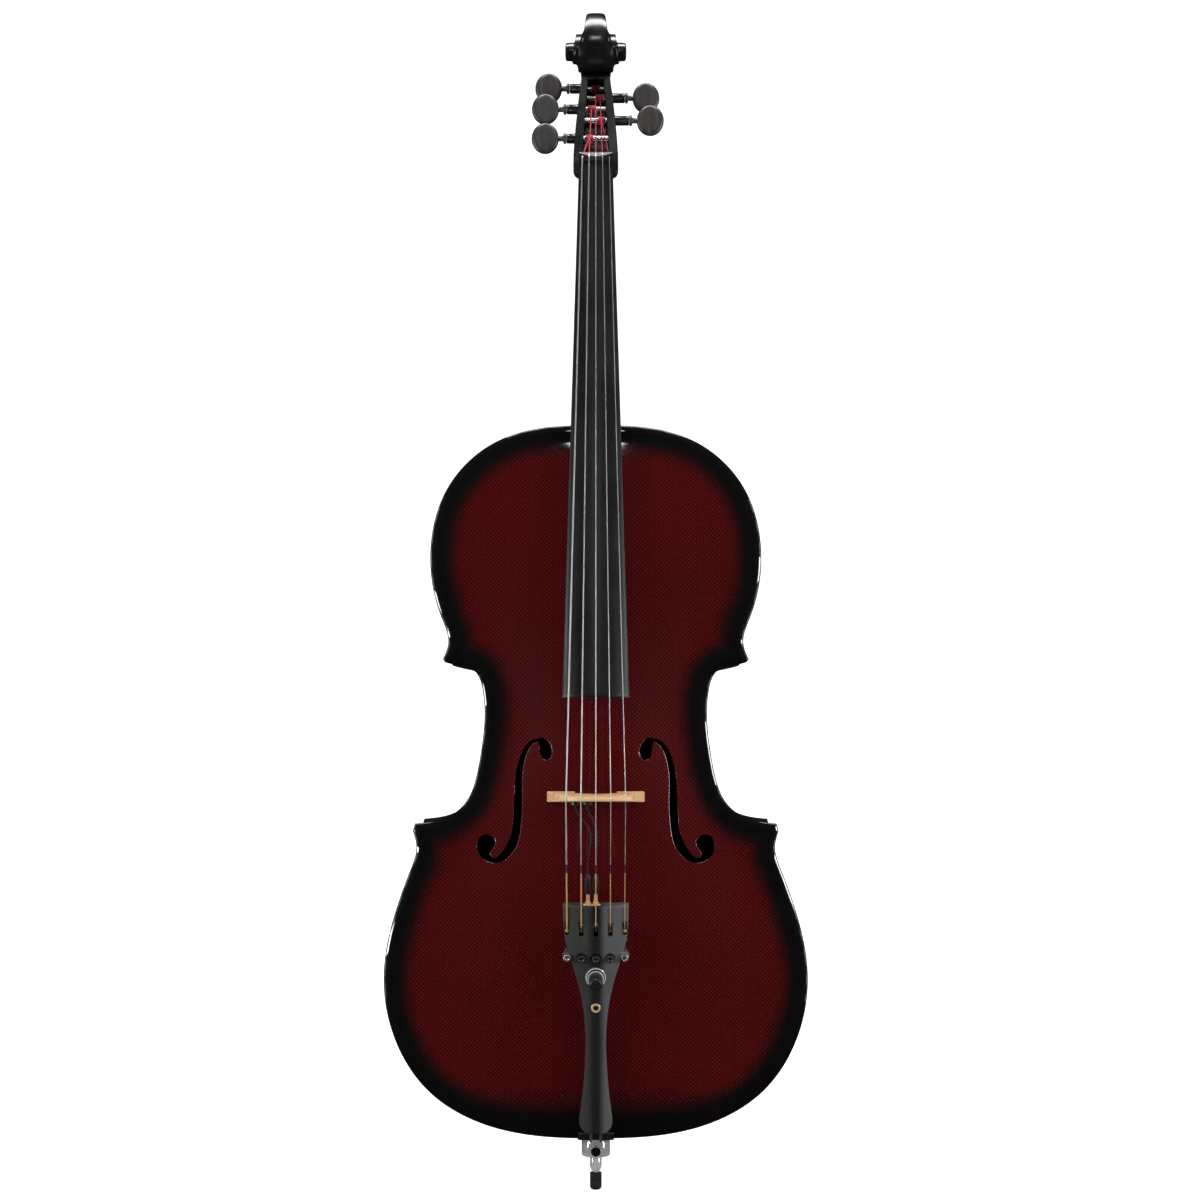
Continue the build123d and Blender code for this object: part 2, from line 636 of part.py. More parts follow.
def make_bridge():
    """A tapered maple bridge with fitted feet and shallow string grooves."""
    under = arched_solid(TOP_ARCH, FRONT - PLATE_THICKNESS - GROOVE_CLEARANCE, 0, -1, hollow=False)
    blank = extrude(Pos(0, 0, BRIDGE_Z) * bridge_face(), amount=BRIDGE_THICK / 2, both=True)
    low, top = FRONT - TOP_ARCH + 10, BRIDGE_TOP_Y - 2
    thick, thin = BRIDGE_THICK / 2, BRIDGE_TOP_THICK / 2
    wedge = Polyline((low, BRIDGE_Z - thick), (low, BRIDGE_Z + thick), (top, BRIDGE_Z + thin), (top, BRIDGE_Z - thin),
                     close=True)
    bridge = (blank & side_slab(make_face(wedge), 70)) - under
    for name in STRING_NAMES:
        bridge -= wire(string_path(name)[1:4], STRING_RADII[name] + GROOVE_CLEARANCE)
    return bridge


# ---- tailpiece, in its own frame: x across, u along, n out of its underside -----------------------
def tail_box(x_low, x_high, u_low, u_high, n_low, n_high):
    """A box in the tailpiece's frame."""
    return box_between((x_low, u_low, n_low), (x_high, u_high, n_high))


def tail_post(x, u, n_low, n_high, radius):
    """A round bar standing out of the tailpiece, in its frame."""
    return Pos(x, u, n_low) * Cylinder(radius, n_high - n_low, align=BAR_CORNER)


def tail_pin(x_low, x_high, u, n, radius):
    """A round bar across the tailpiece, in its frame."""
    return Pos((x_low + x_high) / 2, u, n) * Rot(0, 90, 0) * Cylinder(radius, x_high - x_low)


def tail_blank():
    """The tailpiece's outline under its crowned face."""
    side = Spline(*TAIL_OUTLINE)
    foot = Spline(TAIL_OUTLINE[-1], (11.5, 4.5), (0, 0), tangents=[(-0.1, -1), (-1, 0)])
    edges = [side, foot, mirror(side, about=Plane.YZ), mirror(foot, about=Plane.YZ)]
    top_left, top_right = (-TAIL_OUTLINE[0][0], TAIL_LENGTH), TAIL_OUTLINE[0]
    outline = make_face(edges + [Line(top_left, top_right)])
    for x in (TUNER_X["c"], TUNER_X["e"]):
        outline += Pos(x, SCREW_U) * Circle(EAR_RADIUS)
    half = 45
    sections = []
    for u in (-1, TAIL_LENGTH + 1):
        crest, shoulder = tail_crest(0, u), tail_crest(half, u)
        arc = ThreePointArc((-half, shoulder), (0, crest), (half, shoulder))
        low = Polyline((half, shoulder), (half, -20), (-half, -20), (-half, shoulder))
        sections.append(Plane(origin=(0, u, 0), x_dir=(1, 0, 0), z_dir=(0, -1, 0)) * make_face([arc, low]))
    return extrude(outline, amount=30) & loft(sections, ruled=True)


def make_tailpiece():
    tail = tail_blank()
    for x in TUNER_X.values():
        half, crest = CHANNEL_WIDTH / 2, tail_crest(x, SCREW_U)
        tail -= tail_box(x - half, x + half, SCREW_U - 5, SLOT_TOP_U, -1, CHANNEL_TOP)
        tail -= tail_box(x - half, x + half, SLOT_BOTTOM_U, SLOT_TOP_U, 0, 30)
        tail -= tail_post(x, SCREW_U, -1, 30, SCREW_RADIUS + RUNNING_CLEARANCE)
        tail -= tail_post(x, SCREW_U, crest + 0.2, 30, SCREW_HEAD_RADIUS + 0.5)
    tail -= tail_pin(-50, 50, PIVOT_U, PIVOT_N, PIVOT_RADIUS + GROOVE_CLEARANCE)
    tail -= tail_post(0, KNOB_U, -1, POT_TOP, POT_RADIUS + 0.1)
    tail -= tail_post(0, KNOB_U, -1, 30, POT_BUSH_RADIUS + RUNNING_CLEARANCE)
    return tail


def make_pivot_pin():
    reach = TUNER_X["e"] + 2.6
    return tail_pin(-reach, reach, PIVOT_U, PIVOT_N, PIVOT_RADIUS)


def make_tuner_lever(name):
    """A lever on the pivot pin: an arm under the screw, and a fork that holds the string's ball."""
    x, half = TUNER_X[name], LEVER_WIDTH / 2
    fork = STRING_RADII[name] + 0.5
    lever = tail_box(x - half, x + half, SCREW_U - 2, FORK_U + 2.6, 0.7, LEVER_TOP)
    lever += tail_box(x - half, x + half, FORK_U, FORK_U + 2.6, LEVER_TOP - 0.5, 9.4)
    lever += tail_pin(x - half, x + half, PIVOT_U, PIVOT_N, 2.0)
    lever -= tail_box(x - fork, x + fork, FORK_U - 1, FORK_U + 4, 4.8, 12)
    return lever - tail_pin(x - 4, x + 4, PIVOT_U, PIVOT_N, PIVOT_RADIUS + RUNNING_CLEARANCE)


def make_tuner_screw(name):
    """A fine-tuner screw with a knurled head, resting on its lever's arm."""
    x = TUNER_X[name]
    seat = tail_crest(x, SCREW_U) + 0.5
    head = tail_post(x, SCREW_U, seat, seat + SCREW_HEAD_HEIGHT, SCREW_HEAD_RADIUS)
    head = chamfer(head.edges().group_by(Axis.Z)[-1], 0.5)
    for step in range(KNURLS):
        angle = 2 * pi * step / KNURLS
        spot = (x + SCREW_HEAD_RADIUS * cos(angle), SCREW_U + SCREW_HEAD_RADIUS * sin(angle))
        head -= tail_post(*spot, seat - 1, seat + 9, 0.25)
    shank = tail_post(x, SCREW_U, LEVER_TOP + RUNNING_CLEARANCE, seat + 1, SCREW_RADIUS)
    return head + chamfer(shank.edges().group_by(Axis.Z)[0], SCREW_TIP_CHAMFER)


def make_volume_pot():
    """The volume control's body and threaded bush, under the tailpiece."""
    pot = tail_post(0, KNOB_U, 1, POT_TOP - RUNNING_CLEARANCE, POT_RADIUS)
    pot += tail_post(0, KNOB_U, POT_TOP - 1, RING_TOP - 0.2, POT_BUSH_RADIUS)
    return pot - tail_post(0, KNOB_U, 3, 40, SHAFT_RADIUS + RUNNING_CLEARANCE)


def make_volume_rings(tail):
    """A dress nut and washer around the volume knob."""
    base = tail_crest(0, KNOB_U)
    rings = tail_post(0, KNOB_U, base - 1, base + 2.8, 11.3) + tail_post(0, KNOB_U, base + 2, RING_TOP, 8.0)
    return rings - tail_post(0, KNOB_U, 0, 40, POT_BUSH_RADIUS + GROOVE_CLEARANCE) - tail


def make_volume_knob():
    """A plain round knob with its shaft."""
    cap = tail_post(0, KNOB_U, RING_TOP + 0.3, KNOB_TOP, 7.2)
    cap = fillet(cap.edges().group_by(Axis.Z)[-1], 1.6)
    return cap + tail_post(0, KNOB_U, 4, RING_TOP + 1, SHAFT_RADIUS)


def make_pickup_socket():
    """An oval plate with two round sockets on the tailpiece's upper end."""
    plate = Pos(PLUG_MIDDLE_X, TAIL_LENGTH, PLUG_N) * Rot(-90, 0, 0) * extrude(SlotOverall(17.5, 6.4), amount=1.6)
    for x in PLUG_X:
        plate += Pos(x, TAIL_LENGTH + 1, PLUG_N) * Rot(-90, 0, 0) * Cylinder(2.6, 3, align=BAR_CORNER)
    return plate


def make_pickup_plugs():
    """Two slim plugs in the sockets, each with a thin metal neck."""
    plugs = []
    for x in PLUG_X:
        base = Pos(x, TAIL_LENGTH + 4, PLUG_N) * Rot(-90, 0, 0)
        neck = base * Cylinder(1.9, 9, align=BAR_CORNER)
        plugs.append(neck + base * Pos(0, 0, 8) * Cylinder(3.1, 21, align=BAR_CORNER))
    return Compound(plugs)


# ---- bridge pickup ------------------------------------------------------------------------------
def make_pickup_elements(bridge):
    """Two flat pickup discs on the tailpiece side of the bridge."""
    discs = []
    for x in PICKUP_X:
        spot = (x, PICKUP_Y)
        disc = rod((*spot, BRIDGE_Z - BRIDGE_THICK / 2 - 1.6), (*spot, BRIDGE_Z - 2), PICKUP_RADIUS)
        discs.append((disc - bridge).solids().sort_by(Axis.Z)[0])
    return Compound(discs)


def make_pickup_cables():
    """A thin cable from each disc to its plug."""
    cables = []
    low_z = BRIDGE_Z - BRIDGE_THICK / 2 - 1.7
    for disc_x, x in zip(PICKUP_X, PLUG_X):
        end = in_tail(x, TAIL_LENGTH + 33.1, PLUG_N)
        above = in_tail(x, TAIL_LENGTH + 44, PLUG_N)
        path = [
            (disc_x, PICKUP_Y, low_z),
            (disc_x, PICKUP_Y, low_z - 3),
            (disc_x + 1.5, PICKUP_Y + 1, low_z - 12),
            (x - 0.5, PICKUP_Y - 1, low_z - 24),
            above,
            end,
        ]
        cables.append(cord(path, CABLE_RADIUS).solid())
    return Compound(cables)


# ---- saddle, tailcord and endpin ----------------------------------------------------------------
def make_saddle():
    """The bar that the tailcord bends over, on the lower rim of the top plate."""
    front, rim = FRONT - PLATE_THICKNESS - SADDLE_HEIGHT, FRONT - PLATE_THICKNESS
    saddle = box_between((-19, front, BODY_BOTTOM), (19, rim, BODY_BOTTOM + 8))
    return fillet(saddle.edges().filter_by(Axis.X).sort_by(Axis.Y)[:2], 2.0)


def make_tailcord():
    """A cord that loops around the endpin collar and over the saddle to the tailpiece."""
    front = FRONT - PLATE_THICKNESS - SADDLE_HEIGHT - CORD_RADIUS - 0.1
    loop = COLLAR_NECK_RADIUS + CORD_RADIUS + 0.35
    level, low = RIB_BOTTOM - 1.6, BODY_BOTTOM - CORD_RADIUS - 0.3
    side = [
        in_tail(5, 17, -CORD_RADIUS - 0.3),
        in_tail(5, 3, -CORD_RADIUS - 0.3),
        (5, front, BODY_BOTTOM + 6),
        (5, front, low + 1),
        (5.5, front + 2, low),
        (7, FRONT + 3, low),
    ]
    arc = []
    for step in range(9):
        angle = pi * step / 8
        arc.append((loop * cos(angle), loop * sin(angle), level))
    return cord(side + arc + [(-x, y, z) for x, y, z in reversed(side)], CORD_RADIUS)


def z_bar(low, high, radius):
    """A round bar on the endpin's axis."""
    return rod((0, 0, low), (0, 0, high), radius)


def make_endpin_plug():
    plug = z_bar(RIB_BOTTOM + 0.03, RIB_BOTTOM + 33, PLUG_RADIUS - GROOVE_CLEARANCE)
    return plug - z_bar(0, RIB_BOTTOM + 40, PIN_RADIUS + RUNNING_CLEARANCE)


def make_endpin_collar():
    """A turned collar with a waist for the tailcord and a cross bore for the thumbscrew."""
    collar = z_bar(COLLAR_BOTTOM_Z, RIB_BOTTOM - 3.6, COLLAR_RADIUS)
    collar = chamfer(collar.edges(), 1.2)
    collar += z_bar(RIB_BOTTOM - 5, RIB_BOTTOM, COLLAR_NECK_RADIUS)
    collar -= Pos(0, 0, THUMB_Z + 9) * Torus(COLLAR_RADIUS + 0.6, 1.4)
    collar -= z_bar(0, RIB_BOTTOM + 5, PIN_RADIUS + RUNNING_CLEARANCE)
    return collar - rod((0, -40, THUMB_Z), (0, 0, THUMB_Z), THUMB_SHAFT_RADIUS + RUNNING_CLEARANCE)


def make_endpin_thumbscrew():
    """A thumbscrew that clamps the endpin from the front."""
    head = rod((0, -COLLAR_RADIUS - 13, THUMB_Z), (0, -COLLAR_RADIUS - 1.5, THUMB_Z), 5.4)
    head = chamfer(head.edges(), 0.8)
    for step in range(KNURLS):
        angle = 2 * pi * step / KNURLS
        x, z = 5.4 * cos(angle), THUMB_Z + 5.4 * sin(angle)
        head -= rod((x, -40, z), (x, 0, z), 0.35)
    return head + rod((0, -COLLAR_RADIUS - 2, THUMB_Z), (0, -PIN_RADIUS - 0.15, THUMB_Z), THUMB_SHAFT_RADIUS)


def make_endpin_rod():
    """The endpin: a long rod with a turned ferrule and a spigot for the rubber tip."""
    ferrule = z_bar(FERRULE_BOTTOM_Z + 4, FERRULE_TOP_Z, FERRULE_RADIUS)
    cone = Pos(0, 0, FERRULE_BOTTOM_Z + 2) * Cone(4.6, FERRULE_RADIUS, 4)
    return ferrule + cone + z_bar(7, PIN_TOP_Z, 3.0) + z_bar(FERRULE_TOP_Z - 1, PIN_TOP_Z, PIN_RADIUS)


def make_endpin_tip():
    tip = z_bar(0, TIP_HEIGHT, TIP_RADIUS)
    tip = fillet(tip.edges().group_by(Axis.Z)[0], 3.0)
    tip = chamfer(tip.edges().group_by(Axis.Z)[-1], 0.6)
    return tip - z_bar(6.9, 30, 3.0 + GROOVE_CLEARANCE)


# ---- assembly -----------------------------------------------------------------------------------
def main():
    outline = body_face()
    front_hollow = arched_solid(TOP_ARCH, FRONT, 0, -1, hollow=False)
    back_hollow = arched_solid(BACK_ARCH, BACK, 0, 1, hollow=False)
    neck_block, end_block, corner_blocks = make_blocks()
    bridge = make_bridge()
    tail = make_tailpiece()
    seat = TAIL_PLANE.location
    parts = dict(
        top_plate=make_top_plate(outline),
        back_plate=make_back_plate(outline),
        ribs=make_ribs(),
        linings=make_linings(),
        neck_block=neck_block,
        end_block=end_block,
        corner_blocks=corner_blocks,
        bass_bar=make_bass_bar(front_hollow),
        sound_post=make_sound_post(front_hollow, back_hollow),
        neck=make_neck(outline),
        fingerboard=make_fingerboard(),
        nut=make_nut(),
        saddle=make_saddle(),
        bridge=bridge,
        tailpiece=seat * tail,
        tailcord=make_tailcord(),
        tuner_pivot_pin=seat * make_pivot_pin(),
        volume_pot=seat * make_volume_pot(),
        volume_rings=seat * make_volume_rings(tail),
        volume_knob=seat * make_volume_knob(),
        pickup_socket=seat * make_pickup_socket(),
        pickup_plugs=seat * make_pickup_plugs(),
        pickup_elements=make_pickup_elements(bridge),
        pickup_cables=make_pickup_cables(),
        endpin_plug=make_endpin_plug(),
        endpin_collar=make_endpin_collar(),
        endpin_thumbscrew=make_endpin_thumbscrew(),
        endpin_rod=make_endpin_rod(),
        endpin_tip=make_endpin_tip(),
        peg_housings=Compound([make_peg_housing(peg).solid() for peg in PEGS.values()]),
    )
    for name in STRING_NAMES:
        peg = PEGS[name]
        parts[f"string_{name}"] = make_string(name)
        parts[f"peg_head_{name}"] = make_peg_head(peg)
        parts[f"peg_post_{name}"] = make_peg_post(peg)
        parts[f"string_winding_{name}"] = make_winding(peg)
        parts[f"tuner_lever_{name}"] = seat * make_tuner_lever(name)
        parts[f"tuner_screw_{name}"] = seat * make_tuner_screw(name)
    os.makedirs("parts", exist_ok=True)
    for name, shape in parts.items():
        export_step(shape, f"parts/{name}.step")


main()
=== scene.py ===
"""Looks of the five-string composite cello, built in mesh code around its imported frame."""

import math

import bpy
import numpy as np
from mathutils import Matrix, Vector, geometry


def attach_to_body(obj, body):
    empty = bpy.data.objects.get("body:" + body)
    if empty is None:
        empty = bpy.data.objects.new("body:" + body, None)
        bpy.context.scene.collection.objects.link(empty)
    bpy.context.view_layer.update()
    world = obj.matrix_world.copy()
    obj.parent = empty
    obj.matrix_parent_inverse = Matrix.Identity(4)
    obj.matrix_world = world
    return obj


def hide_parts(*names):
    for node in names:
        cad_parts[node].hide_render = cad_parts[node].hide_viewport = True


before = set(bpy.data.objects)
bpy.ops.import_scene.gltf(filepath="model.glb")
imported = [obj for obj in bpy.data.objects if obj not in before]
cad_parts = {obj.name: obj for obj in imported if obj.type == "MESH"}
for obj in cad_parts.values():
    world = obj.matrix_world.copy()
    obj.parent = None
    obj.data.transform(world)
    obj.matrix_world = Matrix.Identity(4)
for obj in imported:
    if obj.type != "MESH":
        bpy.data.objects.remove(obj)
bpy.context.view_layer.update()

# ---- dimensions, millimetres (row frame: +Z up the instrument, -Y its front, +X treble side) ----
BODY_BOTTOM, BODY_LENGTH = 67.0, 755.5
FRONT, BACK, PLATE = -60.0, 60.0, 4.0
PLATE_RIM, OVERHANG = 14.0, 4.0
TOP_ARCH, BACK_ARCH = 26.0, 24.0
EDGE_ROUND, ROLL_DEPTH, ROLL_WIDTH = 1.2, 2.2, 7.5
UPPER_BOUT = [(0, 755.5), (55, 753), (109.4, 736), (159, 685.5), (175.2, 622), (163.5, 552), (156.3, 524),
              (162, 507.8)]
C_BOUT = [(159.5, 504.3), (147, 501), (128, 494.5), (120, 476), (117.8, 448), (123.2, 400), (143.3, 350),
          (163, 338.5),
          (191.5, 333.8)]
LOWER_BOUT = [(193.8, 326), (190, 308), (196, 285.7), (209.9, 247.7), (224.7, 171.5), (211.5, 101.7),
              (178.2, 51),
              (112.6, 13), (0, 0)]
ARCH_HEIGHTS = [0, 171, 330, 448, 540, 622, 755.5]
ARCH_WAISTS = [130, 215, 150, 112, 140, 168, 110]
F_TOP_EYE = [(62.8, 423.4), (57.9, 424.2), (53.2, 422.8), (49.0, 418.9), (46.4, 412.5), (46.9, 406.0),
             (50.2, 401.6),
             (54.6, 402.0), (57.9, 406.0), (59.2, 412.5), (59.4, 417.2)]
F_INNER = [(60.9, 420.2), (63.8, 419.8), (67.1, 417.2), (71.5, 411.3), (74.9, 401.6), (77.1, 390.9),
           (78.1, 375.0),
           (77.7, 359.9), (78.2, 341.0), (80.2, 322.9), (83.2, 311.8), (88.0, 304.0), (93.8, 297.7),
           (98.7, 294.5)]
F_LOW_EYE = [(104.5, 292.9), (111.3, 293.4), (117.0, 295.7), (121.6, 299.4), (124.6, 304.8), (125.3, 311.0),
             (123.4, 317.6), (118.4, 321.8), (112.6, 321.6), (107.9, 318.6), (106.2, 313.6), (107.6, 309.2),
             (110.8, 305.2), (111.9, 301.6), (110.2, 298.4)]
F_OUTER = [(107.2, 297.3), (102.6, 300.1), (97.7, 305.5), (92.9, 313.2), (88.8, 323.9), (86.9, 336.0),
           (86.0, 352.0),
           (85.5, 368.0), (84.6, 383.0), (82.4, 395.5), (79.0, 406.2), (74.4, 415.2), (69.0, 420.9)]
NUT_Z, BOARD_END_Z, BRIDGE_Z = 1107.0, 532.0, 430.0
BRIDGE_TOP_Y, BRIDGE_RADIUS = -180.0, 62.0
STRINGS = ["c", "g", "d", "a", "e"]
STRING_RADII = dict(c=0.85, g=0.68, d=0.56, a=0.46, e=0.41)
PEGS = dict(
    c=dict(side=-1, z=1138.0, y=-18.0, head=54.6, wind=-7.0),
    e=dict(side=1, z=1159.0, y=-12.5, head=58.9, wind=6.0),
    g=dict(side=-1, z=1173.0, y=-6.5, head=54.6, wind=-4.8),
    a=dict(side=1, z=1187.5, y=1.5, head=54.6, wind=4.6),
    d=dict(side=-1, z=1200.0, y=8.5, head=51.4, wind=0.0),
)
TAIL_Y, TAIL_Z, TAIL_ANGLE, TAIL_LENGTH = -74.0, 77.0, math.radians(13.8), 254.0
TUNER_X = dict(c=-29.5, g=-14.8, d=0.0, a=14.8, e=29.5)
SCROLL_Y, SCROLL_Z, SCROLL_HALF, EYE_RADIUS = 8.0, 1240.0, 33.4, 9.7
RIB_WALL = 1.8
NUT_SPACING, NUT_TOP_Y, NUT_RADIUS, BRIDGE_SPACING = 7.2, -46.3, 58.0, 15.0
BOARD_RADIUS, TAIL_RADIUS = 61.0, 90.0
GLUE_Y, GLUE_FALL, BOARD_WIDTH, BOARD_FLARE = -35.5, 100.5, 36.0, 32.5
NECK_ROOT_Z, HEEL_Z, HEEL_BACK_Y = 822.5, 820.0, 64.0
MOUTH_LOW, MOUTH_HIGH = 1119.0, 1206.0
POST_REACH, POST_RADIUS, WIRE, COILS = 4.35, 3.25, 0.55, 9
GRIP_WIDE, GRIP_TALL, GRIP_SWELL, GRIP_DISH, GRIP_REACH = 14.7, 16.65, 4.8, 1.9, 22.6
SCREW_U, KNOB_U, INLAY_U, ANCHOR_U, ANCHOR_N = 198.0, 178.0, 143.5, 225.6, 7.0
CREST_END_U, WELL_RADIUS, EAR_RADIUS = 235.5, 4.7, 4.8
PLUG_X, PLUG_N, PICKUP_X, PICKUP_Y = (-8.0, 0.0), 9.5, (-21.0, -9.0), -128.5
HEART_Y, BRIDGE_EYE_X, BRIDGE_EYE_Y, CROWN_HALF = -142.0, 27.0, -135.0, 37.5
CORD_X, CORD_RADIUS, CLAMP_Z = 5.0, 1.2, 46.0
WEAVE_PITCH = 0.0023


# ---- curves ------------------------------------------------------------------------------------
def cubic(keys, values, at):
    """Natural cubic through (key, value) rows; values may have several columns."""
    keys, values = np.asarray(keys, float), np.asarray(values, float)
    gap, n = np.diff(keys), len(keys)
    table = np.eye(n)
    right = np.zeros((n,) + values.shape[1:])
    slope = (values[1:] - values[:-1]) / (gap if values.ndim == 1 else gap[:, None])
    for i in range(1, n - 1):
        table[i, i - 1:i + 2] = gap[i - 1], 2 * (gap[i - 1] + gap[i]), gap[i]
        right[i] = 6 * (slope[i] - slope[i - 1])
    bend = np.linalg.solve(table, right)
    at = np.clip(np.asarray(at, float), keys[0], keys[-1])
    i = np.clip(np.searchsorted(keys, at, side="right") - 1, 0, n - 2)
    h, left, rest = gap[i], keys[i + 1] - at, at - keys[i]
    if values.ndim > 1:
        h, left, rest = h[..., None], left[..., None], rest[..., None]
    curve = (bend[i] * left**3 + bend[i + 1] * rest**3) / (6 * h)
    curve = curve + (values[i] / h - bend[i] * h / 6) * left
    return curve + (values[i + 1] / h - bend[i + 1] * h / 6) * rest


def through(points, spacing):
    """Evenly sampled smooth curve through points."""
    points = np.asarray(points, float)
    chord = np.concatenate([[0], np.cumsum(np.linalg.norm(np.diff(points, axis=0), axis=1))])
    fine = cubic(chord, points, np.linspace(0, chord[-1], 600))
    return even(fine, spacing)


def even(line, spacing):
    """A polyline sampled again at an even spacing."""
    run = np.concatenate([[0], np.cumsum(np.linalg.norm(np.diff(line, axis=0), axis=1))])
    count = max(2, int(round(run[-1] / spacing)) + 1)
    at = np.linspace(0, run[-1], count)
    return np.stack([np.interp(at, run, line[:, k]) for k in range(line.shape[1])], axis=1)


def rounded(points, radius, steps=5, closed=False):
    """A polyline with every corner replaced by a short smooth bend."""
    points = [np.asarray(p, float) for p in points]
    count, out = len(points), []
    for i, here in enumerate(points):
        if not closed and i in (0, count - 1):
            out.append(here)
            continue
        before, after = points[i - 1], points[(i + 1) % count]
        back, on = before - here, after - here
        reach = min(radius, 0.49 * np.linalg.norm(back), 0.49 * np.linalg.norm(on))
        start, end = here + back / np.linalg.norm(back) * reach, here + on / np.linalg.norm(on) * reach
        for step in range(steps + 1):
            t = step / steps
            out.append((1 - t) ** 2 * start + 2 * t * (1 - t) * here + t * t * end)
    return np.array(out)


def distinct(loop):
    """A closed loop without repeated points."""
    gap = np.linalg.norm(np.roll(loop, -1, axis=0) - loop, axis=1)
    return loop[gap > 0.02]


def mirrored(points):
    return [(-x, z) for x, z in reversed(points)]


def facing(loop, sign=1):
    """A closed loop of points, run the given way round."""
    x, y = loop[:, 0], loop[:, 1]
    return loop if sign * (x * np.roll(y, -1) - np.roll(x, -1) * y).sum() > 0 else loop[::-1]


def table(rows, at):
    """Straight interpolation in (key, value) rows."""
    keys, values = zip(*rows)
    return float(np.interp(at, keys, values))


def full_turn(count, start=0.0):
    return np.linspace(start, start + 2 * math.pi, count, endpoint=False)


def body_outline(spacing):
    """Closed outline of the plates, clockwise from the top middle's bass side, as (x, height)."""
    upper = through(mirrored(UPPER_BOUT) + UPPER_BOUT[1:], spacing)
    waist = through(C_BOUT, spacing)
    lower = through(LOWER_BOUT + mirrored(LOWER_BOUT)[1:], spacing)
    other = through(mirrored(C_BOUT), spacing)
    return distinct(np.concatenate([upper, waist, lower, other]))


def nearest(points, loop):
    """Distance from each point to a closed loop, and the direction away from the loop."""
    start, span = loop, np.roll(loop, -1, axis=0) - loop
    size = (span**2).sum(1)
    dist, away = np.zeros(len(points)), np.zeros((len(points), 2))
    for low in range(0, len(points), 2000):
        part = points[low:low + 2000]
        gap = part[:, None, :] - start[None]
        t = np.clip((gap * span[None]).sum(2) / size[None], 0, 1)
        off = gap - t[..., None] * span[None]
        length = np.sqrt((off**2).sum(2))
        best = length.argmin(1)
        rows = np.arange(len(part))
        dist[low:low + 2000] = length[rows, best]
        normal = np.stack([span[best, 1], -span[best, 0]], 1) / np.sqrt(size[best])[:, None]
        reach = dist[low:low + 2000, None]
        away[low:low + 2000] = np.where(reach < 1e-4, normal, off[rows, best] / np.maximum(reach, 1e-9))
    return dist, away


def inside(points, loop):
    """Which points lie inside a closed loop."""
    x, y = points[:, 0], points[:, 1]
    found = np.zeros(len(points), bool)
    for (ax, ay), (bx, by) in zip(loop, np.roll(loop, -1, axis=0)):
        if ay == by:
            continue
        hit = ((ay > y) != (by > y)) & (x < (bx - ax) * (y - ay) / (by - ay) + ax)
        found ^= hit
    return found


# ---- meshes ------------------------------------------------------------------------------------
def make_piece(name, verts, faces, mats, face_mats=None, sharp=38.0, normals=None):
    """A mesh object from points in millimetres."""
    mesh = bpy.data.meshes.new(name)
    mesh.from_pydata((np.asarray(verts, float) * 0.001).tolist(), [], [tuple(map(int, f)) for f in faces])
    mesh.validate()
    for mat in mats:
        mesh.materials.append(mat)
    if face_mats is not None:
        mesh.polygons.foreach_set("material_index", np.asarray(face_mats, np.int32))
    mesh.polygons.foreach_set("use_smooth", np.ones(len(mesh.polygons), bool))
    if normals is None:
        mesh.set_sharp_from_angle(angle=math.radians(sharp))
    else:
        mesh.normals_split_custom_set(normals)
    mesh.update()
    obj = bpy.data.objects.new(name, mesh)
    bpy.context.scene.collection.objects.link(obj)
    return obj


def strip_faces(rows, columns, closed):
    """Quads between rows of points; closed joins the last column to the first."""
    faces = []
    for r in range(rows - 1):
        for c in range(columns if closed else columns - 1):
            d = (c + 1) % columns
            faces.append((r * columns + c, r * columns + d, (r + 1) * columns + d, (r + 1) * columns + c))
    return faces


def loft_mesh(loops, caps=True):
    """Points and faces of a solid through closed loops with the same number of points."""
    count, columns = len(loops), len(loops[0])
    verts = np.concatenate(loops)
    faces = strip_faces(count, columns, True)
    if caps:
        for row, order in ((0, 1), (count - 1, -1)):
            centre = len(verts)
            verts = np.concatenate([verts, loops[row].mean(0)[None]])
            ring = range(row * columns, row * columns + columns)
            for a in ring:
                b = row * columns + (a + 1 - row * columns) % columns
                faces.append((centre, b, a) if order == 1 else (centre, a, b))
    return verts, faces


def frame_of(direction):
    along = np.asarray(direction, float) / np.linalg.norm(direction)
    helper = np.array([0.0, 0, 1]) if abs(along[2]) < 0.9 else np.array([1.0, 0, 0])
    side = np.cross(helper, along)
    side /= np.linalg.norm(side)
    return along, side, np.cross(along, side)


def turned(profile, origin, direction, steps=48, knurls=0, depth=0.0):
    """A lathe-turned solid from (distance, radius) rows; knurls cut grooves where the radius is largest."""
    along, side, up = frame_of(direction)
    widest, loops = max(r for _, r in profile), []
    if knurls:
        steps = knurls * 6
    for reach, radius in profile:
        ring = []
        for step in range(steps):
            angle = 2 * math.pi * step / steps
            cut = depth * (0.5 + 0.5 * math.cos(knurls * angle)) if knurls and radius > widest * 0.93 else 0
            local = (radius - cut) * (math.cos(angle) * side + math.sin(angle) * up)
            ring.append(np.asarray(origin, float) + reach * along + local)
        loops.append(np.array(ring))
    return loft_mesh(loops)


def tube(points, radius, sides=14):
    """A round tube along a line of points."""
    points = np.asarray(points, float)
    radius = np.broadcast_to(radius, len(points))
    tangent = np.gradient(points, axis=0)
    tangent /= np.linalg.norm(tangent, axis=1)[:, None]
    _, side, _ = frame_of(tangent[0])
    loops = []
    for here, along, size in zip(points, tangent, radius):
        side = side - along * side.dot(along)
        side /= np.linalg.norm(side)
        up = np.cross(along, side)
        angles = 2 * math.pi * np.arange(sides) / sides
        loops.append(here + size * (np.cos(angles)[:, None] * side + np.sin(angles)[:, None] * up))
    return loft_mesh(loops)


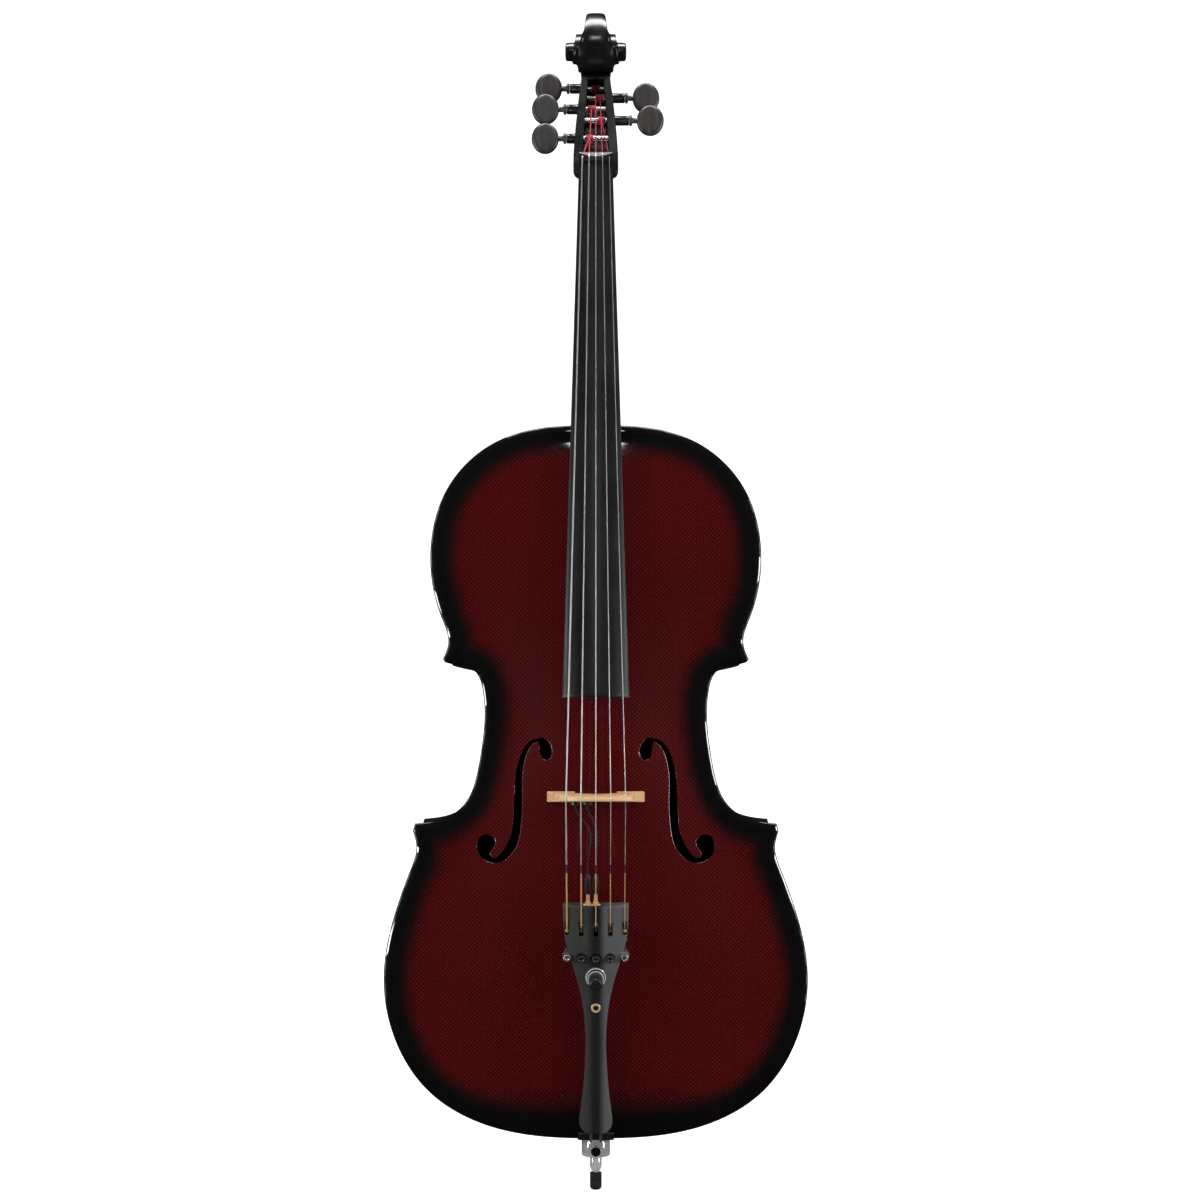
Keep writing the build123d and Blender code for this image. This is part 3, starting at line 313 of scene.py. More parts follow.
def merged(meshes):
    """Several (points, faces) pairs as one."""
    verts, faces, count = [], [], 0
    for v, f in meshes:
        verts.append(np.asarray(v))
        faces += [tuple(i + count for i in face) for face in f]
        count += len(v)
    return np.concatenate(verts), faces


def edge_drop(dist, radius):
    """Fall of a rounded edge at a distance from it, and its tilt (0 flat, 1 upright)."""
    rest = np.clip(radius - dist, 0, radius)
    return radius - np.sqrt(radius**2 - rest**2), rest / radius


def ring_points(loop, distances, outline, holes, hole_reach, fill):
    """Rows of points parallel to a loop, kept on the plate's own material."""
    found = []
    for reach in distances:
        line = even(np.concatenate([loop, loop[:1]]), max(0.9, min(fill, 1.2 + reach * 0.35)))[:-1]
        _, normal = nearest(line, loop)
        for sign in (-1, 1):
            spot = line + sign * reach * normal
            true, _ = nearest(spot, loop)
            spot = spot[np.abs(true - reach) < 0.03 * reach + 0.02]
            own = inside(spot, outline)
            if loop is not outline:
                own &= ~inside(spot, loop) & (nearest(spot, outline)[0] > 0.5)
            else:
                for hole in holes:
                    own &= ~inside(spot, hole) & (nearest(spot, hole)[0] > hole_reach * 1.3)
            found.append(spot[own])
    return found


def grid_points(outline, holes, edge_reach, hole_reach, fill):
    """Staggered rows of points that fill a plate away from its edges."""
    low, high = outline.min(0), outline.max(0)
    rows = []
    for k, b in enumerate(np.arange(low[1], high[1], fill * 0.87)):
        a = np.arange(low[0] + (k % 2) * fill / 2, high[0], fill)
        rows.append(np.stack([a, np.full(len(a), b)], 1))
    grid = np.concatenate(rows)
    grid = grid[inside(grid, outline)]
    keep = nearest(grid, outline)[0] > edge_reach + fill * 0.45
    for hole in holes:
        keep &= ~inside(grid, hole) & (nearest(grid, hole)[0] > hole_reach + fill * 0.4)
    return grid[keep]


def triangulated(cloud, loops):
    """Points and triangles of a plate between its outline, the first loop, and its holes."""
    edges, base = [], 0
    for loop in loops:
        edges += [(base + i, base + (i + 1) % len(loop)) for i in range(len(loop))]
        base += len(loop)
    found = geometry.delaunay_2d_cdt([Vector(p) for p in cloud], edges, [], 0, 1e-5)
    flat = np.array([tuple(v) for v in found[0]])
    tri = np.array([f for f in found[2] if len(f) == 3])
    middle = flat[tri].mean(1)
    keep = inside(middle, loops[0])
    for hole in loops[1:]:
        keep &= ~inside(middle, hole)
    tri = tri[keep]
    used = np.unique(tri)
    renumber = np.full(len(flat), -1)
    renumber[used] = np.arange(len(used))
    return flat[used], renumber[tri]


def plate_face(flat, height, shift, slant, rolling, sign, step=0.05):
    """Points and normals of one face; sign is 1 for the upper face."""
    moves = np.array([[step, 0], [0, step]])
    slopes = np.array([(height(flat + move) - height(flat - move)) / (2 * step) for move in moves])
    da, db = slopes + rolling
    normal = np.stack([-da, -db, np.ones(len(flat))], 1) * sign
    normal /= np.linalg.norm(normal, axis=1)[:, None]
    size = np.minimum(np.linalg.norm(slant, axis=1), 1)
    normal *= np.sqrt(1 - size**2)[:, None]
    normal[:, :2] += slant
    normal /= np.maximum(np.linalg.norm(normal, axis=1), 1e-6)[:, None]
    return np.column_stack([flat, height(flat) + shift]), normal


def border_edges(tri):
    """Edges that only one triangle has, in that triangle's direction."""
    ways = {}
    for a, b, c in tri:
        ways.update({(a, b): True, (b, c): True, (c, a): True})
    return [(a, b) for a, b in ways if (b, a) not in ways]


def turned_over(faces, normals):
    """Faces run the other way round, with their corner normals in step."""
    order, at = [], 0
    for face in faces:
        order += range(at + len(face) - 1, at - 1, -1)
        at += len(face)
    return [face[::-1] for face in faces], normals[order]


def sheet(outline, holes, rings, hole_rings, fill, top, under, place, round_top, round_under=0.4,
          hole_round=0.8, roll=(0, 1)):
    """A curved plate with rounded edges and holes.

    top and under give heights at (a, b) points; place maps (a, b, height) rows into the row frame.
    Returns points, faces, face materials, corner normals and the distance of each point from the outline.
    """
    loops, hole_reach = [outline] + holes, max(hole_rings, default=0)
    points = loops + ring_points(outline, rings, outline, holes, hole_reach, fill)
    for hole in holes:
        points += ring_points(hole, hole_rings, outline, holes, hole_reach, fill)
    points.append(grid_points(outline, holes, rings[-1], hole_reach, fill))
    flat, tri = triangulated(np.concatenate(points), loops)
    dist, away = nearest(flat, outline)
    drop, tilt = edge_drop(dist, round_top)
    low_drop, low_tilt = edge_drop(dist, round_under)
    near = np.clip(1 - dist / roll[1], 0, 1)
    drop, rolling = drop + roll[0] * near**2, away * (2 * roll[0] / roll[1] * near)[:, None]
    lean = -away * tilt[:, None]
    for hole in holes:
        gap, off = nearest(flat, hole)
        fall, slant = edge_drop(gap, hole_round)
        drop, lean = drop + fall, lean - off * slant[:, None]
    upper, upper_normals = plate_face(flat, top, -drop, lean, rolling.T, 1)
    lower, lower_normals = plate_face(flat, under, low_drop, -away * low_tilt[:, None], 0, -1)
    n, border = len(flat), border_edges(tri)
    flipped, walls = tri[:, ::-1] + n, [(b, a, a + n, b + n) for a, b in border]
    faces = [tuple(t) for t in tri] + [tuple(t) for t in flipped] + walls
    kinds = [0] * len(tri) + [1] * len(tri) + [0] * len(walls)
    normals = [upper_normals[i] for t in tri for i in t] + [lower_normals[i - n] for t in flipped for i in t]
    for a, b in border:
        outward = np.array([flat[b][1] - flat[a][1], flat[a][0] - flat[b][0], 0.0])
        normals += [outward / max(np.linalg.norm(outward), 1e-9)] * 4
    turn = place(np.eye(3)) - place(np.zeros((1, 3)))
    normals = np.array(normals) @ turn
    if np.linalg.det(turn) < 0:
        faces, normals = turned_over(faces, normals)
    return place(np.concatenate([upper, lower])), faces, kinds, normals, np.concatenate([dist, dist])


def mark_edge(obj, distance):
    """Keep each point's distance from the piece's edge for its material."""
    edge = obj.data.attributes.new("edge", "FLOAT", "POINT")
    edge.data.foreach_set("value", (distance * 0.001).astype(np.float32))


def attach(obj, body, nodes):
    """Let a piece ride on its body and stand for its CAD nodes."""
    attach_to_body(obj, body)
    if nodes:
        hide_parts(*nodes)


def put(name, mesh, mats, body, nodes, sharp=38.0, face_mats=None):
    """A piece from (points, faces), attached."""
    attach(make_piece(name, mesh[0], mesh[1], mats, face_mats, sharp), body, nodes)


def put_sheet(name, mats, slot, node, *args, **options):
    """A curved plate of the body, attached."""
    verts, faces, kinds, normals, dist = sheet(*args, **options)
    obj = make_piece(name, verts, faces, mats, kinds, normals=normals.tolist())
    mark_edge(obj, dist)
    attach(obj, "cello_body", [node])


# ---- materials ---------------------------------------------------------------------------------
class Shader:
    """A small builder for procedural node materials."""

    def __init__(self, name):
        self.mat = bpy.data.materials.new(name)
        self.mat.use_nodes = True
        self.tree = self.mat.node_tree
        self.tree.nodes.clear()
        out = self.tree.nodes.new("ShaderNodeOutputMaterial")
        self.surface = self.tree.nodes.new("ShaderNodeBsdfPrincipled")
        self.tree.links.new(self.surface.outputs[0], out.inputs[0])
        place = self.tree.nodes.new("ShaderNodeTexCoord")
        self.where = place.outputs["Object"]
        split = self.tree.nodes.new("ShaderNodeSeparateXYZ")
        self.tree.links.new(self.where, split.inputs[0])
        self.x, self.y, self.z = split.outputs

    def put(self, socket, value):
        if isinstance(value, bpy.types.NodeSocket):
            self.tree.links.new(value, socket)
        elif isinstance(value, (tuple, list)) and len(value) == 3 and socket.type == "RGBA":
            socket.default_value = (*value, 1.0)
        else:
            socket.default_value = value

    def math(self, kind, a, b=0.0):
        node = self.tree.nodes.new("ShaderNodeMath")
        node.operation = kind
        self.put(node.inputs[0], a)
        self.put(node.inputs[1], b)
        return node.outputs[0]

    def times(self, a, b):
        return self.math("MULTIPLY", a, b)

    def plus(self, a, b):
        return self.math("ADD", a, b)

    def span(self, value, low, high, start=0.0, end=1.0, kind="SMOOTHSTEP"):
        node = self.tree.nodes.new("ShaderNodeMapRange")
        node.interpolation_type = kind
        for socket, item in zip(node.inputs, (value, low, high, start, end)):
            self.put(socket, item)
        return node.outputs[0]

    def noise(self, scale, detail=3.0, rough=0.5, stretch=None):
        node = self.tree.nodes.new("ShaderNodeTexNoise")
        self.put(node.inputs["Vector"], self.stretched(self.where, stretch) if stretch else self.where)
        for key, value in (("Scale", scale), ("Detail", detail), ("Roughness", rough)):
            node.inputs[key].default_value = value
        return node.outputs[0]

    def stretched(self, where, scale):
        node = self.tree.nodes.new("ShaderNodeVectorMath")
        node.operation = "MULTIPLY"
        self.put(node.inputs[0], where)
        node.inputs[1].default_value = scale
        return node.outputs[0]

    def mix(self, share, a, b):
        node = self.tree.nodes.new("ShaderNodeMix")
        node.data_type = "RGBA"
        self.put(node.inputs[0], share)
        self.put(node.inputs[6], a)
        self.put(node.inputs[7], b)
        return node.outputs[2]

    def bump(self, height, depth, strength=1.0):
        node = self.tree.nodes.new("ShaderNodeBump")
        node.inputs["Strength"].default_value = strength
        node.inputs["Distance"].default_value = depth
        self.put(node.inputs["Height"], height)
        return node.outputs[0]

    def edge(self):
        node = self.tree.nodes.new("ShaderNodeAttribute")
        node.attribute_name = "edge"
        return node.outputs["Fac"]

    def finish(self, **inputs):
        names = dict(color="Base Color", metal="Metallic", rough="Roughness", coat="Coat Weight",
                     coat_rough="Coat Roughness", coat_normal="Coat Normal", normal="Normal",
                     sheen="Sheen Weight", gloss="Specular IOR Level")
        for key, value in inputs.items():
            self.put(self.surface.inputs[names[key]], value)
        return self.mat


def weave(shader, across, along, pitch):
    """A plain weave, which reads as diamonds: (which yarn is on top, height of its crown)."""
    u = shader.math("DIVIDE", shader.plus(across, 1.0), pitch)
    v = shader.math("DIVIDE", shader.plus(along, 1.0), pitch)
    cell = shader.plus(shader.math("FLOOR", u), shader.math("FLOOR", v))
    over = shader.math("FLOORED_MODULO", cell, 2.0)
    crowns = []
    for value in (u, v):
        part = shader.times(shader.math("FRACT", value), math.pi)
        crowns.append(shader.math("SINE", part))
    first = shader.times(crowns[0], over)
    second = shader.times(crowns[1], shader.math("SUBTRACT", 1.0, over))
    return over, shader.plus(first, second)


def weave_material(name, across, burst_from, burst_to):
    """Tinted woven composite under a clear coat, with a black burst at the edges, and painted sheen over the
    crowns of the weave, stronger on one direction of the weave than the other.
    """
    s = Shader(name)
    side = {"x": s.x, "y": s.y}[across]
    over, crown = weave(s, side, s.z, WEAVE_PITCH)
    cloud = s.noise(9.0, 3.0)
    # painted sheen: the red runs from a shaded tone between the crowns to a highlighted tone on them
    light = s.mix(cloud, (0.112, 0.0024, 0.0028), (0.082, 0.0013, 0.0017))
    dark = s.mix(cloud, (0.020, 0.0004, 0.0007), (0.014, 0.0002, 0.0005))
    yarn = s.mix(s.times(crown, s.span(over, 0.0, 1.0, 0.25, 1.0)), dark, light)
    edge = s.plus(s.edge(), s.times(s.math("SUBTRACT", s.noise(14.0, 2.0), 0.5), 0.006))
    burst = s.span(edge, burst_from, burst_to)
    if across == "x":
        burst = s.times(burst, s.span(s.z, 0.082, 0.130))
    # painted sheen: in the burst the black is lightened over the crowns of the weave
    black = s.mix(crown, (0.0007, 0.0006, 0.0007), (0.0024, 0.0019, 0.0021))
    fine = s.noise(900.0, 2.0)
    color = s.mix(burst, black, yarn)
    relief = s.bump(crown, 0.00012, 0.5)
    wear = s.noise(38.0, 5.0, 0.65)
    return s.finish(color=color, metal=0.0, gloss=0.04, rough=s.span(fine, 0.2, 0.8, 0.42, 0.58),
                    normal=relief, coat=1.0, coat_rough=s.span(wear, 0.35, 0.75, 0.02, 0.055),
                    coat_normal=s.bump(s.noise(26.0, 1.0), 0.0004, 0.06))


def black_material(name, rough, coat, coat_rough=0.06, tint=(0.003, 0.003, 0.0033), painted_weave_sheen=0.0,
                   gloss=0.22):
    """Black composite or moulding: faint texture, uneven sheen and rubbed patches, with painted sheen over
    the weave's crowns when asked for.
    """
    s = Shader(name)
    fine, broad = s.noise(700.0, 3.0), s.noise(22.0, 4.0, 0.6)
    lift = tuple(c * 1.7 + 0.0008 for c in tint)
    color = s.mix(broad, tint, lift)
    normal = s.bump(fine, 0.00008, 0.25)
    if painted_weave_sheen:
        # painted sheen: the weave's crowns are lightened towards grey
        _, crown = weave(s, s.x, s.z, WEAVE_PITCH)
        color = s.mix(s.times(crown, painted_weave_sheen), color, (0.02, 0.02, 0.022))
    return s.finish(color=color, rough=s.span(broad, 0.3, 0.7, rough - 0.05, rough + 0.07), normal=normal,
                    coat=coat, coat_rough=coat_rough, gloss=gloss)


def tail_material():
    """Matt black moulding with painted sheen: paler towards its two long sides than along its middle, palest
    on the treble side.
    """
    s = Shader("tail_matt_painted_side_sheen")
    fine, broad = s.noise(700.0, 3.0), s.noise(22.0, 4.0, 0.6)
    # painted sheen: the two long sides are lightened, the treble side more than the bass side
    flank = s.mix(s.span(s.x, -0.012, 0.012), (0.032, 0.031, 0.030), (0.078, 0.076, 0.082))
    color = s.mix(s.span(s.math("ABSOLUTE", s.x), 0.002, 0.011), (0.0085, 0.0083, 0.0088), flank)
    return s.finish(color=color, rough=s.span(broad, 0.3, 0.7, 0.42, 0.52),
                    normal=s.bump(fine, 0.00008, 0.25), gloss=0.4)


def metal_material(name, color, rough, brushed=0.0, darker=0.7, metal=1.0):
    """Plated or turned metal with fine scratches and uneven polish."""
    s = Shader(name)
    broad = s.noise(60.0, 4.0, 0.6)
    lines = s.noise(900.0, 2.0, stretch=(1.0, 1.0, 6.0))
    tone = s.mix(s.span(broad, 0.3, 0.8), color, tuple(c * darker for c in color))
    return s.finish(color=tone, metal=metal, rough=s.span(broad, 0.3, 0.75, rough, rough + 0.12),
                    normal=s.bump(lines, 0.00003, 0.15 + brushed))


def wood_material(name, light, dark, along):
    """Fine straight-grained wood with flecks."""
    s = Shader(name)
    stretch = {"z": (220.0, 220.0, 9.0), "x": (9.0, 160.0, 220.0)}[along]
    grain = s.noise(1.0, 5.0, 0.6, stretch=stretch)
    fleck = s.noise(420.0, 3.0, 0.7, stretch=(1.0, 1.0, 0.35))
    base = s.mix(s.span(grain, 0.3, 0.7), light, dark)
    color = s.mix(s.times(s.span(fleck, 0.56, 0.72), 0.5), base, tuple(c * 0.62 for c in dark))
    return s.finish(color=color, rough=s.span(grain, 0.2, 0.8, 0.42, 0.6),
                    normal=s.bump(grain, 0.0002, 0.35), gloss=0.4)


def string_material():
    """Flat-wound string: metal between the nut and the tailpiece, silk-wrapped at both ends."""
    s = Shader("string_wound")
    wind = s.math("SINE", s.times(s.z, 2 * math.pi / 0.0011))
    silver = s.mix(s.noise(120.0, 3.0), (0.62, 0.61, 0.60), (0.42, 0.41, 0.41))
    tan = s.mix(s.noise(700.0, 3.0), (0.42, 0.27, 0.10), (0.30, 0.18, 0.06))
    purple = s.mix(s.noise(700.0, 3.0), (0.045, 0.012, 0.05), (0.02, 0.006, 0.03))
    crimson = s.mix(s.noise(900.0, 3.0), (0.42, 0.012, 0.035), (0.20, 0.006, 0.02))
    low = s.span(s.z, 0.3540, 0.3548, kind="LINEAR")
    mid = s.span(s.z, 0.3632, 0.3638, kind="LINEAR")
    high = s.span(s.z, 1.1150, 1.1158, kind="LINEAR")
    color = s.mix(high, s.mix(mid, s.mix(low, tan, purple), silver), crimson)
    bare = s.times(mid, s.math("SUBTRACT", 1.0, high))
    return s.finish(color=color, metal=bare, rough=s.span(bare, 0.0, 1.0, 0.75, 0.3, kind="LINEAR"),
                    normal=s.bump(wind, 0.00006, 0.5))


def cloth_material(name, first, second, scale):
    s = Shader(name)
    turn = s.math("SINE", s.times(s.plus(s.z, s.times(s.x, 0.6)), 2 * math.pi / scale))
    return s.finish(color=s.mix(s.noise(800.0, 3.0), first, second), rough=0.72, sheen=0.4,
                    normal=s.bump(turn, 0.0001, 0.6))


WEAVE_FACE = weave_material("weave_red_face_painted_sheen", "x", 0.014, 0.037)
WEAVE_SIDE = weave_material("weave_red_side_painted_sheen", "y", 0.006, 0.034)
CARBON = black_material("carbon_inside", 0.55, 0.0, painted_weave_sheen=0.5)
GLOSS = black_material("black_gloss", 0.30, 0.9, 0.05)
SATIN = black_material("black_satin", 0.26, 0.30, 0.16, gloss=0.45)
BOARD = black_material("board_satin", 0.36, 0.10, 0.25, tint=(0.004, 0.004, 0.0044))
TAIL = tail_material()
GREY = black_material("peg_grey", 0.40, 0.12, 0.3, tint=(0.017, 0.0152, 0.014), gloss=0.5)
KNOB = black_material("knob_black", 0.38, 0.2, 0.2, tint=(0.006, 0.006, 0.006))
RUBBER = black_material("rubber", 0.72, 0.0, tint=(0.011, 0.011, 0.011))
MAPLE = wood_material("maple_bridge", (0.66, 0.42, 0.23), (0.50, 0.29, 0.14), "x")
SPRUCE = wood_material("spruce_inside", (0.70, 0.52, 0.30), (0.55, 0.38, 0.20), "z")
CHROME = metal_material("chrome", (0.86, 0.86, 0.88), 0.06, metal=0.45)
STEEL = metal_material("steel", (0.56, 0.56, 0.58), 0.22, brushed=0.2)
SILVER = metal_material("tuner_silver", (0.66, 0.58, 0.58), 0.26, brushed=0.1)
DARK = metal_material("tuner_dark", (0.13, 0.125, 0.125), 0.36, brushed=0.1)
GOLD = metal_material("gold", (0.80, 0.56, 0.28), 0.22, metal=0.5)
WOUND = string_material()
CRIMSON = cloth_material("crimson_silk", (0.45, 0.012, 0.04), (0.22, 0.005, 0.02), 0.0008)
BRAID = cloth_material("cord_braid", (0.010, 0.010, 0.010), (0.022, 0.021, 0.021), 0.0016)


# ---- body --------------------------------------------------------------------------------------
def rise(points, arch):
    """Height of the arching above the flat rim at (x, height) points."""
    half = cubic(ARCH_HEIGHTS, ARCH_WAISTS, points[:, 1]) - PLATE_RIM
    along = np.clip((points[:, 1] - PLATE_RIM) / (BODY_LENGTH - 2 * PLATE_RIM), 0, 1)
    aside = np.minimum(1, np.abs(points[:, 0]) / half)
    return arch * (1 - aside**2) ** 1.7 * (1 - np.abs(2 * along - 1) ** 3) ** 1.3


def f_hole(side):
    """Closed outline of one sound hole: a stem that curls into two eyes, with a tongue at each."""
    corners = F_TOP_EYE + F_INNER + F_LOW_EYE + F_OUTER
    loop = even(through(corners + corners[:1], 0.4), 1.15)[:-1]
    return facing(distinct(loop * [side, 1]))


RINGS = [EDGE_ROUND * (1 - math.cos(math.radians(a))) for a in (16, 32, 48, 62, 76, 90)]
RINGS += [2.6, 3.8, 5.2, 7, 9, 11.5, 15, 20, 26]
outline = body_outline(2.2)


def build_plate(name, node, level, sign, arch, holes, hole_rings, fill):
    """An arched plate with a rolled edge; sign is the way its outer face looks."""
    put_sheet(name, [WEAVE_FACE, CARBON], "tinted_weave", node, outline, holes, RINGS, hole_rings, fill,
              lambda p: rise(p, arch) + PLATE, lambda p: rise(p, arch),
              lambda v: np.column_stack([v[:, 0], level + sign * v[:, 2], BODY_BOTTOM + v[:, 1]]),
              EDGE_ROUND, roll=(ROLL_DEPTH, ROLL_WIDTH))


f_holes, f_hole_rings = [f_hole(-1), f_hole(1)], [0.25, 0.8, 1.8, 3.5]
build_plate("body_top", "top_plate", FRONT, -1, TOP_ARCH, f_holes, f_hole_rings, 5.0)
build_plate("body_back", "back_plate", BACK, 1, BACK_ARCH, [], [], 5.5)


def rib_line(distance):
    """The outline moved inwards, closed, with its corners kept."""
    _, inward = nearest(outline, outline)
    line = outline + inward * distance
    true, _ = nearest(line, outline)
    return line[true > distance - 0.03]


def rib_wall(line, depths):
    """Points and faces of an open wall along a closed line."""
    loops = [np.column_stack([line[:, 0], np.full(len(line), y), BODY_BOTTOM + line[:, 1]]) for y in depths]
    return np.concatenate(loops), strip_faces(len(loops), len(line), True)


def build_ribs():
    wall = rib_wall(rib_line(OVERHANG), np.linspace(FRONT, BACK, 9))
    lining = rib_wall(rib_line(OVERHANG + RIB_WALL), (BACK, 0, FRONT))
    verts, faces = merged([wall, lining])
    kinds = [0] * len(wall[1]) + [1] * len(lining[1])
    obj = make_piece("body_ribs", verts, faces, [WEAVE_SIDE, CARBON], kinds, sharp=40)
    mark_edge(obj, BACK - np.abs(verts[:, 1]))
    attach(obj, "cello_body", ["ribs"])


build_ribs()


# ---- places along the tailpiece ----------------------------------------------------------------
def in_tail(x, u, n):
    """A point along the tailpiece (u) and out of its underside (n), in the row frame."""
    c, s = math.cos(TAIL_ANGLE), math.sin(TAIL_ANGLE)
    return np.array([x, TAIL_Y - u * s - n * c, TAIL_Z + u * c - n * s])


TAIL_OUT = in_tail(0, 0, 1) - in_tail(0, 0, 0)
TAIL_UP = in_tail(0, 1, 0) - in_tail(0, 0, 0)


def tail_crest(x, u):
    return 9.0 + 7.0 * u / TAIL_LENGTH - (TAIL_RADIUS - np.sqrt(TAIL_RADIUS**2 - np.asarray(x, float) ** 2))


# ---- neck, fingerboard and nut -----------------------------------------------------------------
def sag(radius, x):
    """Drop of a round crown at a distance from its middle."""
    return radius - math.sqrt(radius**2 - x**2)


def glue_y(z):
    """Depth of the plane between neck and fingerboard."""
    return GLUE_Y - GLUE_FALL * (NUT_Z - z) / (NUT_Z - BOARD_END_Z)


def board_half(z):
    return (BOARD_WIDTH + BOARD_FLARE * (NUT_Z - z) / (NUT_Z - BOARD_END_Z)) / 2


def build_neck():
    """The neck: a rounded back that runs down into a deep heel."""
    loops = []
    levels = np.concatenate([np.linspace(818.5, 860, 30), np.linspace(864, NUT_Z, 34)])
    for z in levels:
        share = (NUT_Z - z) / (NUT_Z - NECK_ROOT_Z)
        depth = 20.5 + 5.0 * share**2 + 122.0 * math.exp(-max(0.0, z - HEEL_Z) / 11.0)
        half = board_half(z) - 0.5
        angles = np.linspace(0, math.pi, 27)
        x = half * np.sign(np.cos(angles)) * np.abs(np.cos(angles)) ** 0.9
        y = glue_y(z) + depth * np.sin(angles)
        y = np.minimum(y, HEEL_BACK_Y - 3 * (x / half) ** 2)
        loops.append(np.column_stack([x, y, np.full(len(x), z)]))
    return loft_mesh(loops)


PEGBOX_LEVELS = np.concatenate([np.linspace(1096.5, 1102, 7), np.linspace(1103.5, 1118.8, 8),
                                np.linspace(1119.2, 1205.8, 32), np.linspace(1206.2, 1224.9, 12)])
PEGBOX_W = [(1096.5, 21.0), (1098.2, 22.9), (1101.5, 24.2), (1117, 24.0), (1134, 23), (1154, 21.4),
            (1186, 18.2), (1201, 16.2), (1212, 15.4), (1225, 16.6)]
PEGBOX_FRONT = [(1095, -37.5), (1107, -35.4), (1208, -8.5), (1215, 6), (1225, 30)]
PEGBOX_BACK = [(1085, -17), (1107, -6), (1145, 5), (1197, 22), (1225, 37)]
PEGBOX_FLOOR = [(MOUTH_LOW, -14.0), (1171, 3.5), (MOUTH_HIGH, 17.0)]
CHEEKS = [(1096, 24.2), (1117, 24.2), (1134, 23), (1154, 21.4), (1186, 18.2), (1201, 16.2), (1212, 15.1)]


def bent(corners, reach):
    """A closed loop with a bend of its own size at each corner."""
    ring = []
    for i, corner in enumerate(corners):
        ends = []
        for other in (corners[i - 1], corners[(i + 1) % len(corners)]):
            length = max(np.linalg.norm(other - corner), 1e-6)
            ends.append(corner + (other - corner) / length * min(reach[i], 0.45 * length))
        for t in np.linspace(0, 1, 6):
            ring.append((1 - t) ** 2 * ends[0] + 2 * t * (1 - t) * corner + t * t * ends[1])
    return np.array(ring)


def build_pegbox():
    """The pegbox: two cheeks, a floor and a rounded back, open at the front between the cheeks."""
    loops = []
    for z in PEGBOX_LEVELS:
        half = table(PEGBOX_W, z)
        front = table(PEGBOX_FRONT, z)
        rear = max(float(cubic(*zip(*PEGBOX_BACK), z)), front + 3)
        open_now = MOUTH_LOW <= z <= MOUTH_HIGH
        gap = 14.5 - 6.0 * (z - MOUTH_LOW) / (MOUTH_HIGH - MOUTH_LOW) if open_now else half * 0.5
        floor = min(table(PEGBOX_FLOOR, z) if open_now else front, rear - 3)
        bend = min(6.0, (rear - front) * 0.3)
        corners = [(gap, front), (half, front), (half, rear), (-half, rear), (-half, front), (-gap, front),
                   (-gap, floor), (gap, floor)]
        reach = [0.7, 1.3, bend, bend, 1.3, 0.7, 1.5, 1.5]
        ring = bent(np.array(corners, float), reach)
        loops.append(np.column_stack([ring[:, 0], ring[:, 1], np.full(len(ring), z)]))
    return loft_mesh(loops)


VOLUTE_R = [(-45, 32.5), (0, 34), (45, 38), (90, 41), (135, 37.5), (180, 32), (225, 26.5), (270, 23),
            (315, 22), (360, 21.2), (450, 19.0), (540, 16.5), (630, 13.4), (720, 10.2)]
VOLUTE_W = [(-45, 16.4), (0, 14.6), (45, 12.0), (90, 9.8), (135, 11.6), (180, 14.0), (225, 17.0),
            (270, 18.6), (360, 20.3), (450, 21.4), (540, 22.6), (630, 24.6), (720, 27.5)]


SIDE_SHARES = (0.0, 0.12, 0.35, 0.65, 0.9)


def volute(rows, angle):
    """Smooth value in (angle, value) rows; past the last row it stays."""
    keys, values = zip(*rows)
    return float(cubic(keys, values, min(angle, keys[-1])))


def turn_side(start, width, low, rise_by):
    """Side of one turn: (radius, half width) points from its inner to its outer edge."""
    return [(start + width * share, low + rise_by * (1 - share) ** 3) for share in SIDE_SHARES]


def build_scroll():
    """A carved volute: a smooth spine that winds inwards, each turn standing out further, up to the eye."""
    loops, eye, widest = [], EYE_RADIUS, SCROLL_HALF
    for angle in np.arange(-42.0, 318.1, 3.0):
        outer, inner = volute(VOLUTE_R, angle), volute(VOLUTE_R, angle + 360)
        wide, wider = volute(VOLUTE_W, angle), volute(VOLUTE_W, angle + 360)
        inner = min(inner, outer - 0.5)
        half = [(0.0, widest), (eye * 0.5, widest - 0.1), (eye - 1.6, widest - 0.5),
                (eye - 0.5, widest - 1.2), (eye - 0.1, widest - 2.4), (eye, widest - 4)]
        half += turn_side(eye + 0.15, inner - eye - 0.6, wider, (widest - 6 - wider) * 0.35)
        half += [(inner - 0.35, wider - 0.15), (inner - 0.05, wider - 0.7), (inner, wider - 1.6)]
        half += turn_side(inner + 0.1, outer - inner - 0.9, wide, (wider - wide) * 0.45)
        half += [(outer - 2.6, wide), (outer - 1.9, wide - 0.15), (outer - 1.3, wide - 0.4)]
        for share in (0.9, 0.75, 0.58, 0.42, 0.28, 0.16, 0.07, 0.0):
            half.append((outer - 1.3 * share**4, (wide - 0.5) * share))
        full = half + [(r, -x) for r, x in half[:-1][::-1]]
        c, s = math.cos(math.radians(angle)), math.sin(math.radians(angle))
        loops.append(np.array([(x, SCROLL_Y + r * c, SCROLL_Z + r * s) for r, x in full]))
    return np.concatenate(loops), strip_faces(len(loops), len(loops[0]), False)


put("neck_and_heel", build_neck(), [GLOSS], "cello_body", ["neck"])
put("pegbox", build_pegbox(), [SATIN], "cello_body", [])
put("scroll", build_scroll(), [SATIN], "cello_body", [])


